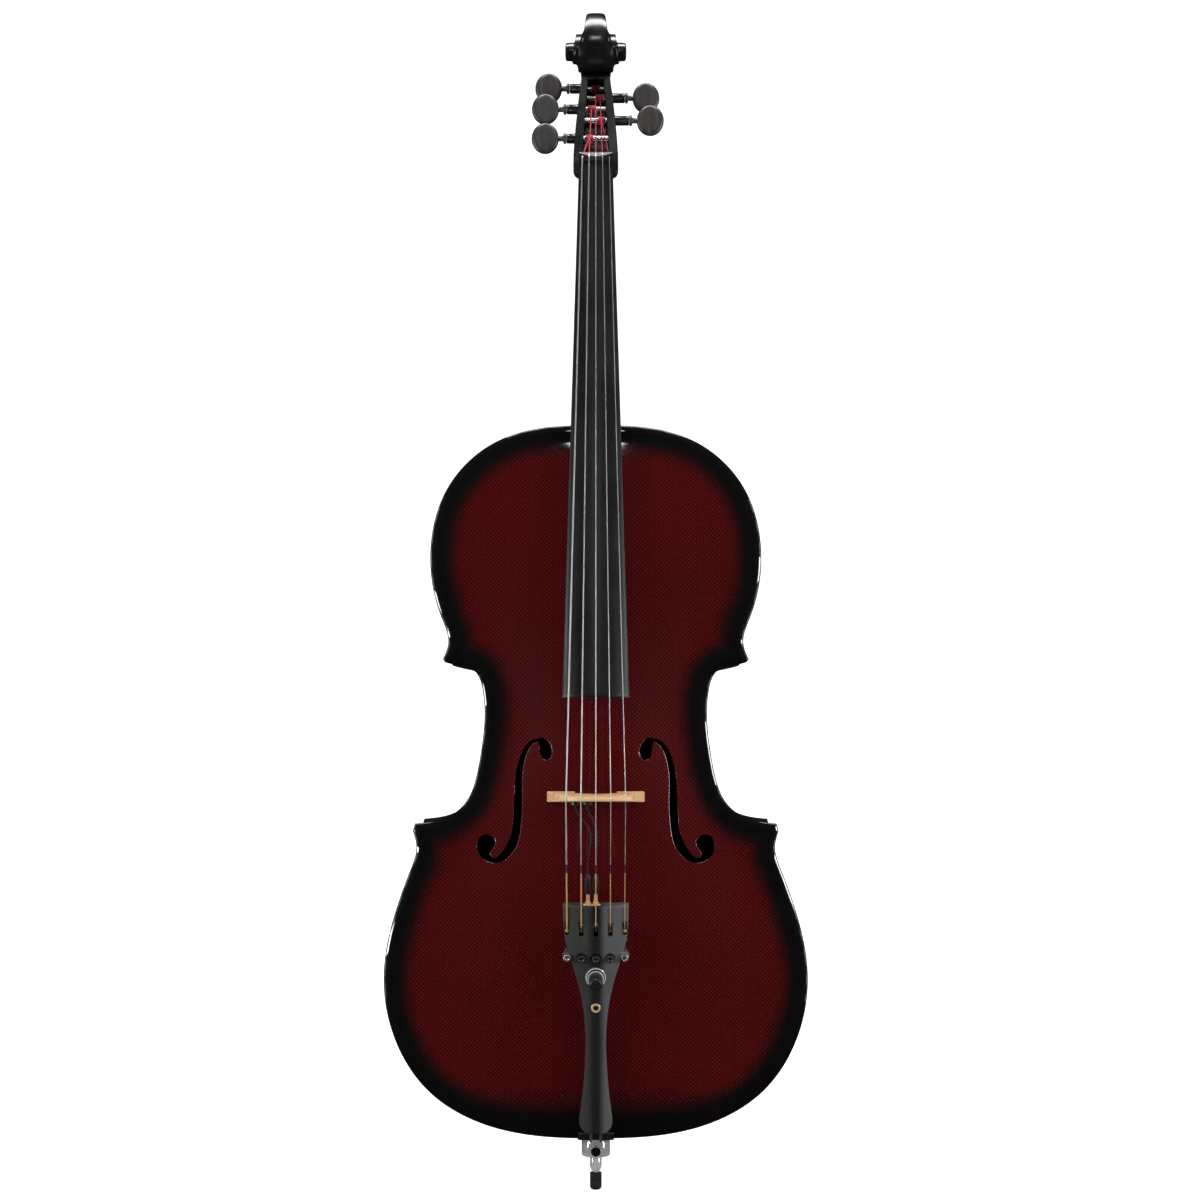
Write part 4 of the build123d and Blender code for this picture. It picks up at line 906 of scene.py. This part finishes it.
def build_board():
    """The fingerboard: a round playing face with softened edges and a hollowed end."""
    loops, ends = [], [BOARD_END_Z + step for step in (0, 0.5, 1.5)]
    for k, z in enumerate(ends + list(np.linspace(BOARD_END_Z + 6, NUT_Z, 24))):
        half, base = board_half(z), glue_y(z)
        shrink = [1.2, 0.35, 0.0][k] if k < 3 else 0.0
        half -= shrink
        shoulder = base - 5.5
        arc = np.linspace(-1, 1, 25) * (half - 0.8)
        sag_half, sag_arc = sag(BOARD_RADIUS, half), BOARD_RADIUS - np.sqrt(BOARD_RADIUS**2 - arc**2)
        face = shoulder - sag_half + sag_arc + shrink
        ring = [(-half, base), (-half, shoulder + 1.2), (-half + 0.15, shoulder + 0.35),
                (-half + 0.45, shoulder - 0.15)]
        ring += list(zip(arc, face))
        ring += [(half - 0.45, shoulder - 0.15), (half - 0.15, shoulder + 0.35), (half, shoulder + 1.2),
                 (half, base)]
        ring += [(half * s, base + (0 if z > 850 else -1.0 * (1 - s * s))) for s in (0.6, 0.2, -0.2, -0.6)]
        loops.append(np.array([(x, y, z) for x, y in ring]))
    return loft_mesh(loops)


put("fingerboard_shaped", build_board(), [BOARD], "cello_body", ["fingerboard"], sharp=50)


# ---- strings -----------------------------------------------------------------------------------
def on_crest(x, u, lift):
    return in_tail(x, u, float(tail_crest(x, u)) + lift)


def string_points(name):
    """Where one string bends: winding, nut, bridge, tailpiece edge and slot."""
    k, radius, peg, tail_x = STRINGS.index(name) - 2, STRING_RADII[name], PEGS[name], TUNER_X[name]
    nut_x, bridge_x = k * NUT_SPACING, k * BRIDGE_SPACING
    return [
        np.array([peg["wind"], peg["y"] - POST_REACH - radius - 0.06, peg["z"]]),
        np.array([nut_x, NUT_TOP_Y + sag(NUT_RADIUS, nut_x), NUT_Z + 4]),
        np.array([bridge_x, BRIDGE_TOP_Y + sag(BRIDGE_RADIUS, bridge_x), BRIDGE_Z]),
        on_crest(tail_x, TAIL_LENGTH - 2, radius + 0.3),
        on_crest(tail_x, CREST_END_U, radius + 0.3),
        in_tail(tail_x, ANCHOR_U, ANCHOR_N),
    ]


def build_string(name):
    points = string_points(name)
    line = rounded(points, 2.0, steps=4)
    dense = [line[0]]
    for a, b in zip(line, line[1:]):
        pieces = max(1, int(np.linalg.norm(b - a) // 40))
        dense += [a + (b - a) * (i + 1) / pieces for i in range(pieces)]
    ball = [(2.1 * math.cos(a), 2.1 * math.sin(a) + 0.02) for a in np.linspace(math.pi, 0, 12)]
    return merged([tube(np.array(dense), STRING_RADII[name], 12), turned(ball, points[-1], (1, 0, 0), 20)])


def build_winding(name):
    peg, pitch, reach = PEGS[name], 1.9 * WIRE, POST_RADIUS + WIRE
    start = peg["wind"] - pitch * (COILS - 1) / 2
    angles = np.linspace(0, 2 * math.pi * (COILS - 1), 24 * (COILS - 1) + 1) + math.pi
    x = start + pitch * (angles - math.pi) / (2 * math.pi)
    return tube(np.column_stack([x, peg["y"] + reach * np.cos(angles), peg["z"] + reach * np.sin(angles)]),
                WIRE, 10)


for name in STRINGS:
    put(f"string_{name}_wound", build_string(name), [WOUND], "cello_body",
        [f"string_{name}"])
    put(f"winding_{name}_coil", build_winding(name), [CRIMSON], f"peg_shaft_{name}",
        [f"string_winding_{name}"])


# ---- pegs --------------------------------------------------------------------------------------
def build_grip(peg):
    """An oval peg head, dished on both faces, with a thin rolled rim."""
    side = peg["side"]
    centre = np.array([side * peg["head"], peg["y"], peg["z"]])
    loops, angles = [], full_turn(72)
    for face in (-1, 1):
        shares = [0.0, 0.15, 0.3, 0.45, 0.6, 0.72, 0.82, 0.89, 0.94, 0.975, 0.995, 1.0]
        for share in shares if face < 0 else shares[::-1][1:]:
            x = GRIP_WIDE * share * np.cos(angles)
            z = GRIP_TALL * share * np.sin(angles)
            swell = GRIP_SWELL * math.sqrt(max(0.0, 1 - share**5)) * (0.80 + 0.20 * share**2)
            dish = GRIP_DISH * np.exp(-((x * side + 1.5) / 4.4) ** 2) * (1 - share**6)
            loops.append(centre + np.column_stack([x, face * (swell - dish), z]))
    grip = loft_mesh(loops, caps=False)
    ring = peg["head"] - GRIP_REACH
    rows = [(ring, 0.2), (ring, 5.0), (ring + 0.4, 5.5), (ring + 1.0, 5.7), (ring + 2.2, 5.65),
            (ring + 2.7, 5.2), (ring + 3.0, 3.6), (ring + 3.6, 2.9), (ring + 9.0, 2.8), (ring + 12.0, 3.2),
            (ring + 15.0, 4.0)]
    shaft = turned(rows, (0, peg["y"], peg["z"]), (side, 0, 0), 40)
    return merged([grip, shaft])


def build_housings():
    parts = []
    for peg in PEGS.values():
        wall, end = table(CHEEKS, peg["z"]), peg["head"] - GRIP_REACH - 0.2
        rows = [(wall - 1.5, 0.5), (wall - 1.5, 5.5), (wall + 0.5, 5.55), (wall + 1.0, 5.2),
                (end - 3.4, 5.2), (end - 3.2, 5.0), (end - 2.9, 5.0), (end - 2.7, 5.2), (end - 1.3, 5.2),
                (end - 0.7, 4.95), (end, 4.0), (end, 2.4)]
        parts.append(turned(rows, (0, peg["y"], peg["z"]), (peg["side"], 0, 0), 44))
    return merged(parts)


for name in STRINGS:
    put(f"peg_grip_{name}_oval", build_grip(PEGS[name]), [GREY], f"peg_grip_{name}",
        [f"peg_head_{name}"], sharp=50)
put("peg_sleeves", build_housings(), [GLOSS], "cello_body", ["peg_housings"], sharp=60)


# ---- bridge ------------------------------------------------------------------------------------
def bridge_outline():
    base, crown = -80.0, BRIDGE_TOP_Y + 0.3
    corner = (CROWN_HALF, crown + sag(BRIDGE_RADIUS, CROWN_HALF))
    flank = through([(51, base - 9), (45, base - 22), (38.5, base - 36), (37, base - 48), (41.5, base - 57),
                     (38, base - 66), corner], 1.6)
    arch = through([(22, base - 9), (24, base - 22), (17, base - 36), (0, base - 42)], 1.6)
    feet = []
    for x in np.linspace(51, 22, 14):
        under = FRONT - PLATE - float(rise(np.array([[x, BRIDGE_Z - BODY_BOTTOM]]), TOP_ARCH)[0]) - 0.05
        feet.append((x, under))
    crest = [(x, crown + sag(BRIDGE_RADIUS, x)) for x in np.linspace(CROWN_HALF, 0, 16)]
    half = list(map(tuple, arch[::-1])) + feet[::-1] + list(map(tuple, flank)) + crest[1:]
    left = [(-x, y) for x, y in half[::-1][1:-1]]
    return facing(np.array(half + left), -1)


def bridge_thickness(p):
    share = np.clip((-90.0 - p[:, 1]) / 92.0, 0, 1)
    return (11.0 - 7.8 * share) / 2


def bridge_heart():
    """The heart-shaped opening in the middle of the bridge."""
    a = full_turn(40)
    x, y = 8.625 * np.sin(a) ** 3, HEART_Y - 6.2 * (np.cos(a) - 0.45 * np.cos(2 * a))
    return facing(np.stack([x, y], 1))


def bridge_eye(side):
    """One long rounded opening, leaning outwards."""
    c, s = math.cos(math.radians(side * 35)), math.sin(math.radians(side * 35))
    a = full_turn(36, 0.02)
    x, y = 5.75 * np.sign(np.cos(a)) + 4.25 * np.cos(a), 4.25 * np.sin(a)
    return facing(np.stack([side * BRIDGE_EYE_X + c * x - s * y, BRIDGE_EYE_Y + s * x + c * y], 1))


put_sheet("bridge_maple", [MAPLE, MAPLE], "maple", "bridge", bridge_outline(),
          [bridge_heart(), bridge_eye(-1), bridge_eye(1)], [0.12, 0.4, 0.8, 1.6], [0.12, 0.4, 0.9], 2.6,
          bridge_thickness, lambda p: -bridge_thickness(p),
          lambda v: np.column_stack([v[:, 0], v[:, 1], BRIDGE_Z + v[:, 2]]), 0.8, 0.8, 0.5)


# ---- tailpiece ---------------------------------------------------------------------------------
TAIL_SIDE = [(33.8, 254), (33.4, 240), (32.6, 224), (27.6, 200), (18, 167.5), (12.9, 139.5), (10.6, 105),
             (11.2, 82), (13.6, 48), (17, 20), (16.8, 9), (11.5, 1.8), (0, 0)]


def tail_outline():
    side = through(TAIL_SIDE, 1.5)
    turn = np.radians(np.linspace(80, -175, 44))
    ear = np.stack([TUNER_X["e"] + EAR_RADIUS * np.cos(turn), SCREW_U + EAR_RADIUS * np.sin(turn)], 1)
    ear = ear[ear[:, 0] > np.interp(ear[:, 1], side[::-1, 1], side[::-1, 0])]
    side = np.concatenate([side[side[:, 1] > ear[0, 1] + 0.3], ear, side[side[:, 1] < ear[-1, 1] - 0.3]])
    top = np.array([(x, TAIL_LENGTH) for x in np.linspace(-33.0, 33.0, 44)])
    other = side[::-1][1:] * [-1, 1]
    return distinct(np.concatenate([top, side, other]))


def slot_hole(x, low, high, half, bend=1.2):
    points = [(x - half, low), (x + half, low), (x + half, high), (x - half, high)]
    points = rounded(points, bend, 4, closed=True)
    return even(np.concatenate([points, points[:1]]), 0.8)[:-1]


def tail_top(p):
    """Outer face: the crest, with a low ridge along its lower part."""
    ridge = 0.5 * np.exp(-(p[:, 0] / 6.0) ** 2)
    return tail_crest(p[:, 0], p[:, 1]) - 0.35 + ridge * np.clip((214 - p[:, 1]) / 60, 0, 1)


def screw_well(x):
    a = full_turn(40)
    return np.stack([x + WELL_RADIUS * np.cos(a), SCREW_U + WELL_RADIUS * np.sin(a)], 1)


slots = [slot_hole(x, 221.5, 236, 2.4) for x in TUNER_X.values()]
wells = [screw_well(TUNER_X[name]) for name in "gda"]
put_sheet("tailpiece_shaped", [TAIL, TAIL], "tailpiece_black", "tailpiece", tail_outline(), slots + wells,
          [0.15, 0.5, 1.0, 1.7, 2.6], [0.12, 0.4, 0.9], 3.2, tail_top, lambda p: 0.0 * p[:, 0],
          lambda v: np.array([0, TAIL_Y, TAIL_Z]) + np.outer(v[:, 0], [1, 0, 0]) + np.outer(v[:, 1], TAIL_UP)
          + np.outer(v[:, 2], TAIL_OUT), 2.6, 1.2, 0.6)


def build_screw(name):
    x = TUNER_X[name]
    seat = float(tail_crest(x, SCREW_U)) + 0.5
    rows = [(3.7, 0.1), (3.7, 0.6), (4.6, 1.5), (seat, 1.5), (seat, 3.4), (seat + 0.4, 4.0),
            (seat + 0.8, 4.1), (seat + 4.2, 4.1), (seat + 4.7, 3.9), (seat + 5.0, 3.4), (seat + 5.0, 2.2),
            (seat + 4.6, 1.6), (seat + 4.6, 0.1)]
    return turned(rows, in_tail(x, SCREW_U, 0), TAIL_OUT, knurls=22, depth=0.35)


for name in STRINGS:
    put(f"tuner_screw_{name}_knurled", build_screw(name), [SILVER if name in "ce" else DARK],
        f"fine_tuner_screw_{name}", [f"tuner_screw_{name}"], sharp=30)


def two_kinds(first, second):
    """Meshes of two materials as one: ((points, faces), face materials)."""
    count, other = (sum(len(faces) for _, faces in meshes) for meshes in (first, second))
    return merged(first + second), [0] * count + [1] * other


def circle_tube(radius, n, wire):
    """A round wire ring around the volume knob's axis."""
    ring = [(radius * math.cos(a), KNOB_U + radius * math.sin(a)) for a in np.linspace(0, 2 * math.pi, 97)]
    return tube(np.array([in_tail(x, u, n) for x, u in ring]), wire, 12)


def build_rings():
    """Two black steps under the volume knob, each with a bright turned rim."""
    base, seat = float(tail_crest(0, KNOB_U)), in_tail(0, KNOB_U, 0)
    rows = [(base - 1.2, 4.0), (base - 1.2, 9.6), (base - 0.6, 10.0), (base + 2.3, 10.0), (base + 2.7, 9.0),
            (base + 2.7, 4.0)]
    low = turned(rows, seat, TAIL_OUT, knurls=40, depth=0.3)
    rows = [(base + 2.7, 3.9), (base + 2.7, 7.7), (19.3, 7.7), (19.7, 7.2), (19.7, 3.9)]
    high = turned(rows, seat, TAIL_OUT, knurls=34, depth=0.3)
    return two_kinds([low, high], [circle_tube(9.7, base + 2.5, 0.8), circle_tube(7.5, 19.3, 0.75)])


def build_knob():
    rows = [(4.0, 0.1), (4.0, 2.9), (20.3, 2.9), (20.3, 6.6), (20.8, 7.05), (21.6, 7.2), (36.6, 7.0),
            (37.4, 6.9), (38.6, 6.4), (39.4, 5.4), (39.8, 4.2), (39.75, 3.0), (39.5, 1.6), (39.4, 0.1)]
    return turned(rows, in_tail(0, KNOB_U, 0), TAIL_OUT, 64)


ring_mesh, ring_kinds = build_rings()
put("volume_rings_knurled", ring_mesh, [KNOB, CHROME], "cello_body", ["volume_rings"], 30,
    ring_kinds)
put("volume_knob_turned", build_knob(), [KNOB], "volume_control", ["volume_knob"], sharp=50)


def build_inlay():
    """A plain gold ring around a dark disc, let into the tailpiece's face."""
    seat = on_crest(0, INLAY_U, 0.12)
    ring = turned([(-0.3, 0.1), (-0.3, 5.0), (0.2, 5.0), (0.38, 4.8), (0.38, 2.9), (0.1, 2.7), (0.1, 0.1)],
                  seat, TAIL_OUT)
    disc = turned([(-0.2, 0.1), (-0.2, 2.75), (0.25, 2.75), (0.32, 2.6), (0.32, 0.1)], seat, TAIL_OUT)
    return two_kinds([ring], [disc])


inlay_mesh, inlay_kinds = build_inlay()
put("tailpiece_inlay", inlay_mesh, [GOLD, KNOB], "cello_body", [], 30, inlay_kinds)


# ---- pickup ------------------------------------------------------------------------------------
def build_plugs():
    parts, gold = [], []
    for x in PLUG_X:
        foot = in_tail(x, TAIL_LENGTH + 4, PLUG_N)
        gold.append(turned([(0, 1.2), (0, 1.85), (8.4, 1.85), (8.5, 1.0)], foot, TAIL_UP, 28))
        rows = [(8.0, 1.0), (8.0, 2.5), (8.5, 3.0), (9.4, 3.1), (24.0, 3.1), (25.2, 2.9), (26.0, 2.3),
                (28.6, 1.7), (29.0, 1.1)]
        parts.append(turned(rows, foot, TAIL_UP, 32))
    return two_kinds(parts, gold)


plug_mesh, plug_kinds = build_plugs()
put("pickup_plugs_turned", plug_mesh, [KNOB, GOLD], "cello_body", ["pickup_plugs"], 40,
    plug_kinds)


def build_socket():
    """The oval gold plate with two raised, chamfered sockets."""
    loops = []
    for n, shrink in ((-0.6, 0.0), (1.0, 0.0), (1.4, 0.25), (1.6, 0.7)):
        half, r = 5.55, 3.2 - shrink
        ring = []
        for a in full_turn(48):
            centre = half if math.cos(a) > 0 else -half
            ring.append(in_tail(-4 + centre + r * math.cos(a), TAIL_LENGTH + n, PLUG_N + r * math.sin(a)))
        loops.append(np.array(ring))
    parts = [loft_mesh(loops)]
    for x in PLUG_X:
        rows = [(1.2, 1.9), (1.2, 2.6), (3.4, 2.6), (3.9, 2.3), (4.0, 1.95), (3.2, 1.9)]
        parts.append(turned(rows, in_tail(x, TAIL_LENGTH, PLUG_N), TAIL_UP, 32))
    return merged(parts)


put("pickup_socket_plate", build_socket(), [GOLD], "cello_body", ["pickup_socket"], sharp=30)


def build_cables():
    parts, low = [], BRIDGE_Z - 5.5 - 1.7
    for disc, x in zip(PICKUP_X, PLUG_X):
        path = [(disc, PICKUP_Y, low + 0.8), (disc, PICKUP_Y, low - 3), (disc + 2.5, PICKUP_Y + 1, low - 9),
                (x - 0.8, PICKUP_Y - 1, low - 21)]
        path += [tuple(in_tail(x, TAIL_LENGTH + u, PLUG_N)) for u in (46, 32.8)]
        parts.append(tube(through(path, 1.2), 0.9, 12))
    return merged(parts)


put("pickup_cables_soft", build_cables(), [RUBBER], "cello_body", ["pickup_cables"], sharp=60)


# ---- tailcord, saddle and endpin ---------------------------------------------------------------
def build_tailcord():
    front, low = FRONT - PLATE - 7 - 1.3, BODY_BOTTOM - 1.5
    side = [in_tail(CORD_X, 20, -1.5), in_tail(CORD_X, 2, -1.5), np.array([CORD_X, front, BODY_BOTTOM + 6]),
            np.array([CORD_X, front, low + 1]), np.array([CORD_X + 0.5, front + 3, low]),
            np.array([CORD_X + 2, FRONT + 3, low])]
    arc = [np.array([13.0 * math.cos(a), 13.0 * math.sin(a), 69.4]) for a in np.linspace(-0.2,
                                                                                         math.pi + 0.2, 26)]
    other = [p * [-1, 1, 1] for p in side[::-1]]
    return tube(even(rounded(side + arc + other, 3.0, 4), 1.2), CORD_RADIUS, 12)


put("tailcord_braided", build_tailcord(), [BRAID], "cello_body", ["tailcord"], sharp=60)


ENDPIN_AXIS = (0, 0, 0), (0, 0, 1)


def build_collar():
    rows = [(37.0, 5.2), (37.0, 13.4), (37.4, 14.6), (38.4, 15.3), (39.2, 15.5), (52.6, 15.5), (53.4, 15.3),
            (53.9, 14.7), (54.4, 14.2), (55.6, 14.2), (56.1, 14.7), (56.6, 15.3), (57.4, 15.5),
            (64.8, 15.5), (66.2, 15.1), (67.0, 14.2), (67.35, 12.6), (67.4, 11.5), (70.9, 11.5),
            (70.9, 5.2)]
    return turned(rows, *ENDPIN_AXIS, 96)


def build_thumbscrew():
    rows = [(5.2, 0.1), (5.2, 2.45), (17.0, 2.45), (17.0, 4.6), (17.6, 5.2), (18.3, 5.4), (27.2, 5.4),
            (28.0, 5.1), (28.5, 4.4), (28.4, 3.2), (28.1, 1.8), (28.0, 0.1)]
    return turned(rows, (0, 0, CLAMP_Z), (0, -1, 0), knurls=24, depth=0.4)


def build_rod():
    rows = [(7.0, 0.1), (7.0, 3.0), (21.0, 3.0), (21.0, 4.6), (23.0, 5.4), (25.0, 6.3), (25.6, 6.35),
            (35.6, 6.35), (36.4, 6.1), (36.8, 5.5), (37.2, 5.0), (454.2, 5.0), (455.0, 4.2), (455.0, 0.1)]
    return turned(rows, *ENDPIN_AXIS, 64)


def build_tip():
    rows = [(0.0, 0.1), (0.0, 2.6), (0.25, 3.9), (1.0, 5.1), (2.0, 5.9), (3.2, 6.35), (9.0, 6.35),
            (9.3, 6.1), (9.9, 6.1), (10.2, 6.35), (17.9, 6.35), (18.6, 6.1), (19.0, 5.5), (19.0, 3.05)]
    return turned(rows, *ENDPIN_AXIS, 64)


put("endpin_collar_turned", build_collar(), [CHROME], "cello_body", ["endpin_collar"], sharp=35)
put("thumbscrew_knurled", build_thumbscrew(), [SATIN], "endpin_clamp", ["endpin_thumbscrew"],
    sharp=35)
put("endpin_rod_turned", build_rod(), [CHROME], "endpin", ["endpin_rod"], sharp=35)
put("endpin_tip_moulded", build_tip(), [RUBBER], "endpin", ["endpin_tip"], sharp=45)


# ---- carried-over CAD pieces -------------------------------------------------------------------
CAD_FINISH = dict(linings=CARBON, neck_block=CARBON, end_block=CARBON, corner_blocks=CARBON, bass_bar=SPRUCE,
                  sound_post=SPRUCE, nut=BOARD, saddle=BOARD, tuner_pivot_pin=STEEL, volume_pot=STEEL,
                  pickup_elements=KNOB, endpin_plug=CARBON)
CAD_FINISH.update({f"{kind}_{name}": STEEL for name in STRINGS for kind in ("peg_post", "tuner_lever")})
for node, finish in CAD_FINISH.items():
    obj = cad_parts[node]
    obj.data.materials.clear()
    obj.data.materials.append(finish)
    bevel = obj.modifiers.new("softened edges", "BEVEL")
    bevel.width, bevel.segments, bevel.limit_method = 0.0004, 2, "ANGLE"
    bevel.angle_limit = math.radians(40)
    bevel.harden_normals = True


# ---- camera, light and backdrop ----------------------------------------------------------------
CAMERA_AT = (0.0, -2.264, 0.4997)
SENSOR, VIEW_WIDTH, DISTANCE = 36.0, 1.26888, 2.2
SHIFT_X, SHIFT_Y = 0.0035, 0.10833333
scene = bpy.context.scene


def build_camera():
    """A level camera in front of the bridge, shifted up to hold the whole instrument."""
    camera = bpy.data.objects.new("camera", bpy.data.cameras.new("camera"))
    scene.collection.objects.link(camera)
    camera.location, camera.rotation_euler = CAMERA_AT, (math.pi / 2, 0, 0)
    lens = camera.data
    lens.sensor_fit, lens.sensor_width, lens.lens = "HORIZONTAL", SENSOR, SENSOR * DISTANCE / VIEW_WIDTH
    lens.shift_x, lens.shift_y, lens.clip_start, lens.clip_end = SHIFT_X, SHIFT_Y, 0.05, 50
    scene.camera = camera


build_camera()


def backdrop_material():
    """White studio paper that stays bright to the camera and still takes a soft shadow."""
    s = Shader("studio_paper")
    grain = s.noise(3.0, 4.0)
    paper = s.finish(color=s.mix(grain, (0.50, 0.50, 0.50), (0.54, 0.54, 0.54)), rough=0.9, gloss=0.0)
    lit = s.tree.nodes.new("ShaderNodeLightPath")
    s.put(s.surface.inputs["Emission Color"], (1.0, 1.0, 1.0))
    s.put(s.surface.inputs["Emission Strength"], s.times(lit.outputs["Is Camera Ray"], 0.80))
    return paper


def build_backdrop():
    """A sheet of studio paper: floor, a wide bend and a wall."""
    line = rounded([(-3.2, 0), (2.6, 0), (2.6, 4.0)], 1.5, 24)
    rows = [[(x, y, z) for y, z in line] for x in np.linspace(-4.5, 4.5, 13)]
    verts = np.array([p for row in rows for p in row]) * 1000
    faces = strip_faces(len(rows), len(line), False)
    return make_piece("backdrop", verts, faces, [backdrop_material()], sharp=180)


paper = build_backdrop()
paper.visible_glossy = False


def area(name, place, aim, width, height, power, seen=True, diffuse=True):
    light = bpy.data.lights.new(name, "AREA")
    light.shape, light.size, light.size_y, light.energy = "RECTANGLE", width, height, power
    obj = bpy.data.objects.new(name, light)
    obj.location = place
    obj.rotation_euler = (Vector(aim) - Vector(place)).to_track_quat("-Z", "Y").to_euler()
    obj.visible_glossy, obj.visible_diffuse = seen, diffuse
    scene.collection.objects.link(obj)


area("strip_left", (-1.75, -0.75, 0.70), (0, -0.06, 0.6), 0.20, 1.8, 18)
area("strip_right", (1.75, -0.75, 0.70), (0, -0.06, 0.6), 0.20, 1.8, 18)
area("edge_left", (-1.78, -1.22, 0.36), (-0.15, -0.06, 0.6), 0.50, 0.22, 12, diffuse=False)
area("edge_right", (1.78, -1.22, 0.72), (0.15, -0.06, 0.7), 0.50, 0.26, 12, diffuse=False)
area("scroll_light", (0.0, -2.2, 1.68), (0, 0, 1.2), 0.16, 0.34, 3, diffuse=False)
area("overhead", (0.0, -0.35, 2.7), (0, 0, 0.7), 1.6, 0.7, 60)
area("front_left", (-2.4, -2.6, 1.3), (0, 0, 0.6), 0.8, 1.6, 45, seen=False)
area("front_right", (2.4, -2.6, 1.3), (0, 0, 0.6), 0.8, 1.6, 45, seen=False)
area("back_fill", (0.9, 1.9, 1.3), (0, 0, 0.6), 1.2, 1.2, 40, seen=False)


def build_world():
    """A world that is bright to the camera and faint as a light."""
    world = bpy.data.worlds.new("studio")
    scene.world, world.use_nodes = world, True
    tree = world.node_tree
    sky = tree.nodes["Background"].inputs
    sky[0].default_value = (0.90, 0.92, 0.95, 1)
    lit, shown = tree.nodes.new("ShaderNodeLightPath"), tree.nodes.new("ShaderNodeMapRange")
    shown.inputs["To Min"].default_value, shown.inputs["To Max"].default_value = 0.02, 0.9
    tree.links.new(lit.outputs["Is Camera Ray"], shown.inputs["Value"])
    tree.links.new(shown.outputs["Result"], sky[1])


build_world()
scene.view_settings.view_transform = "Standard"
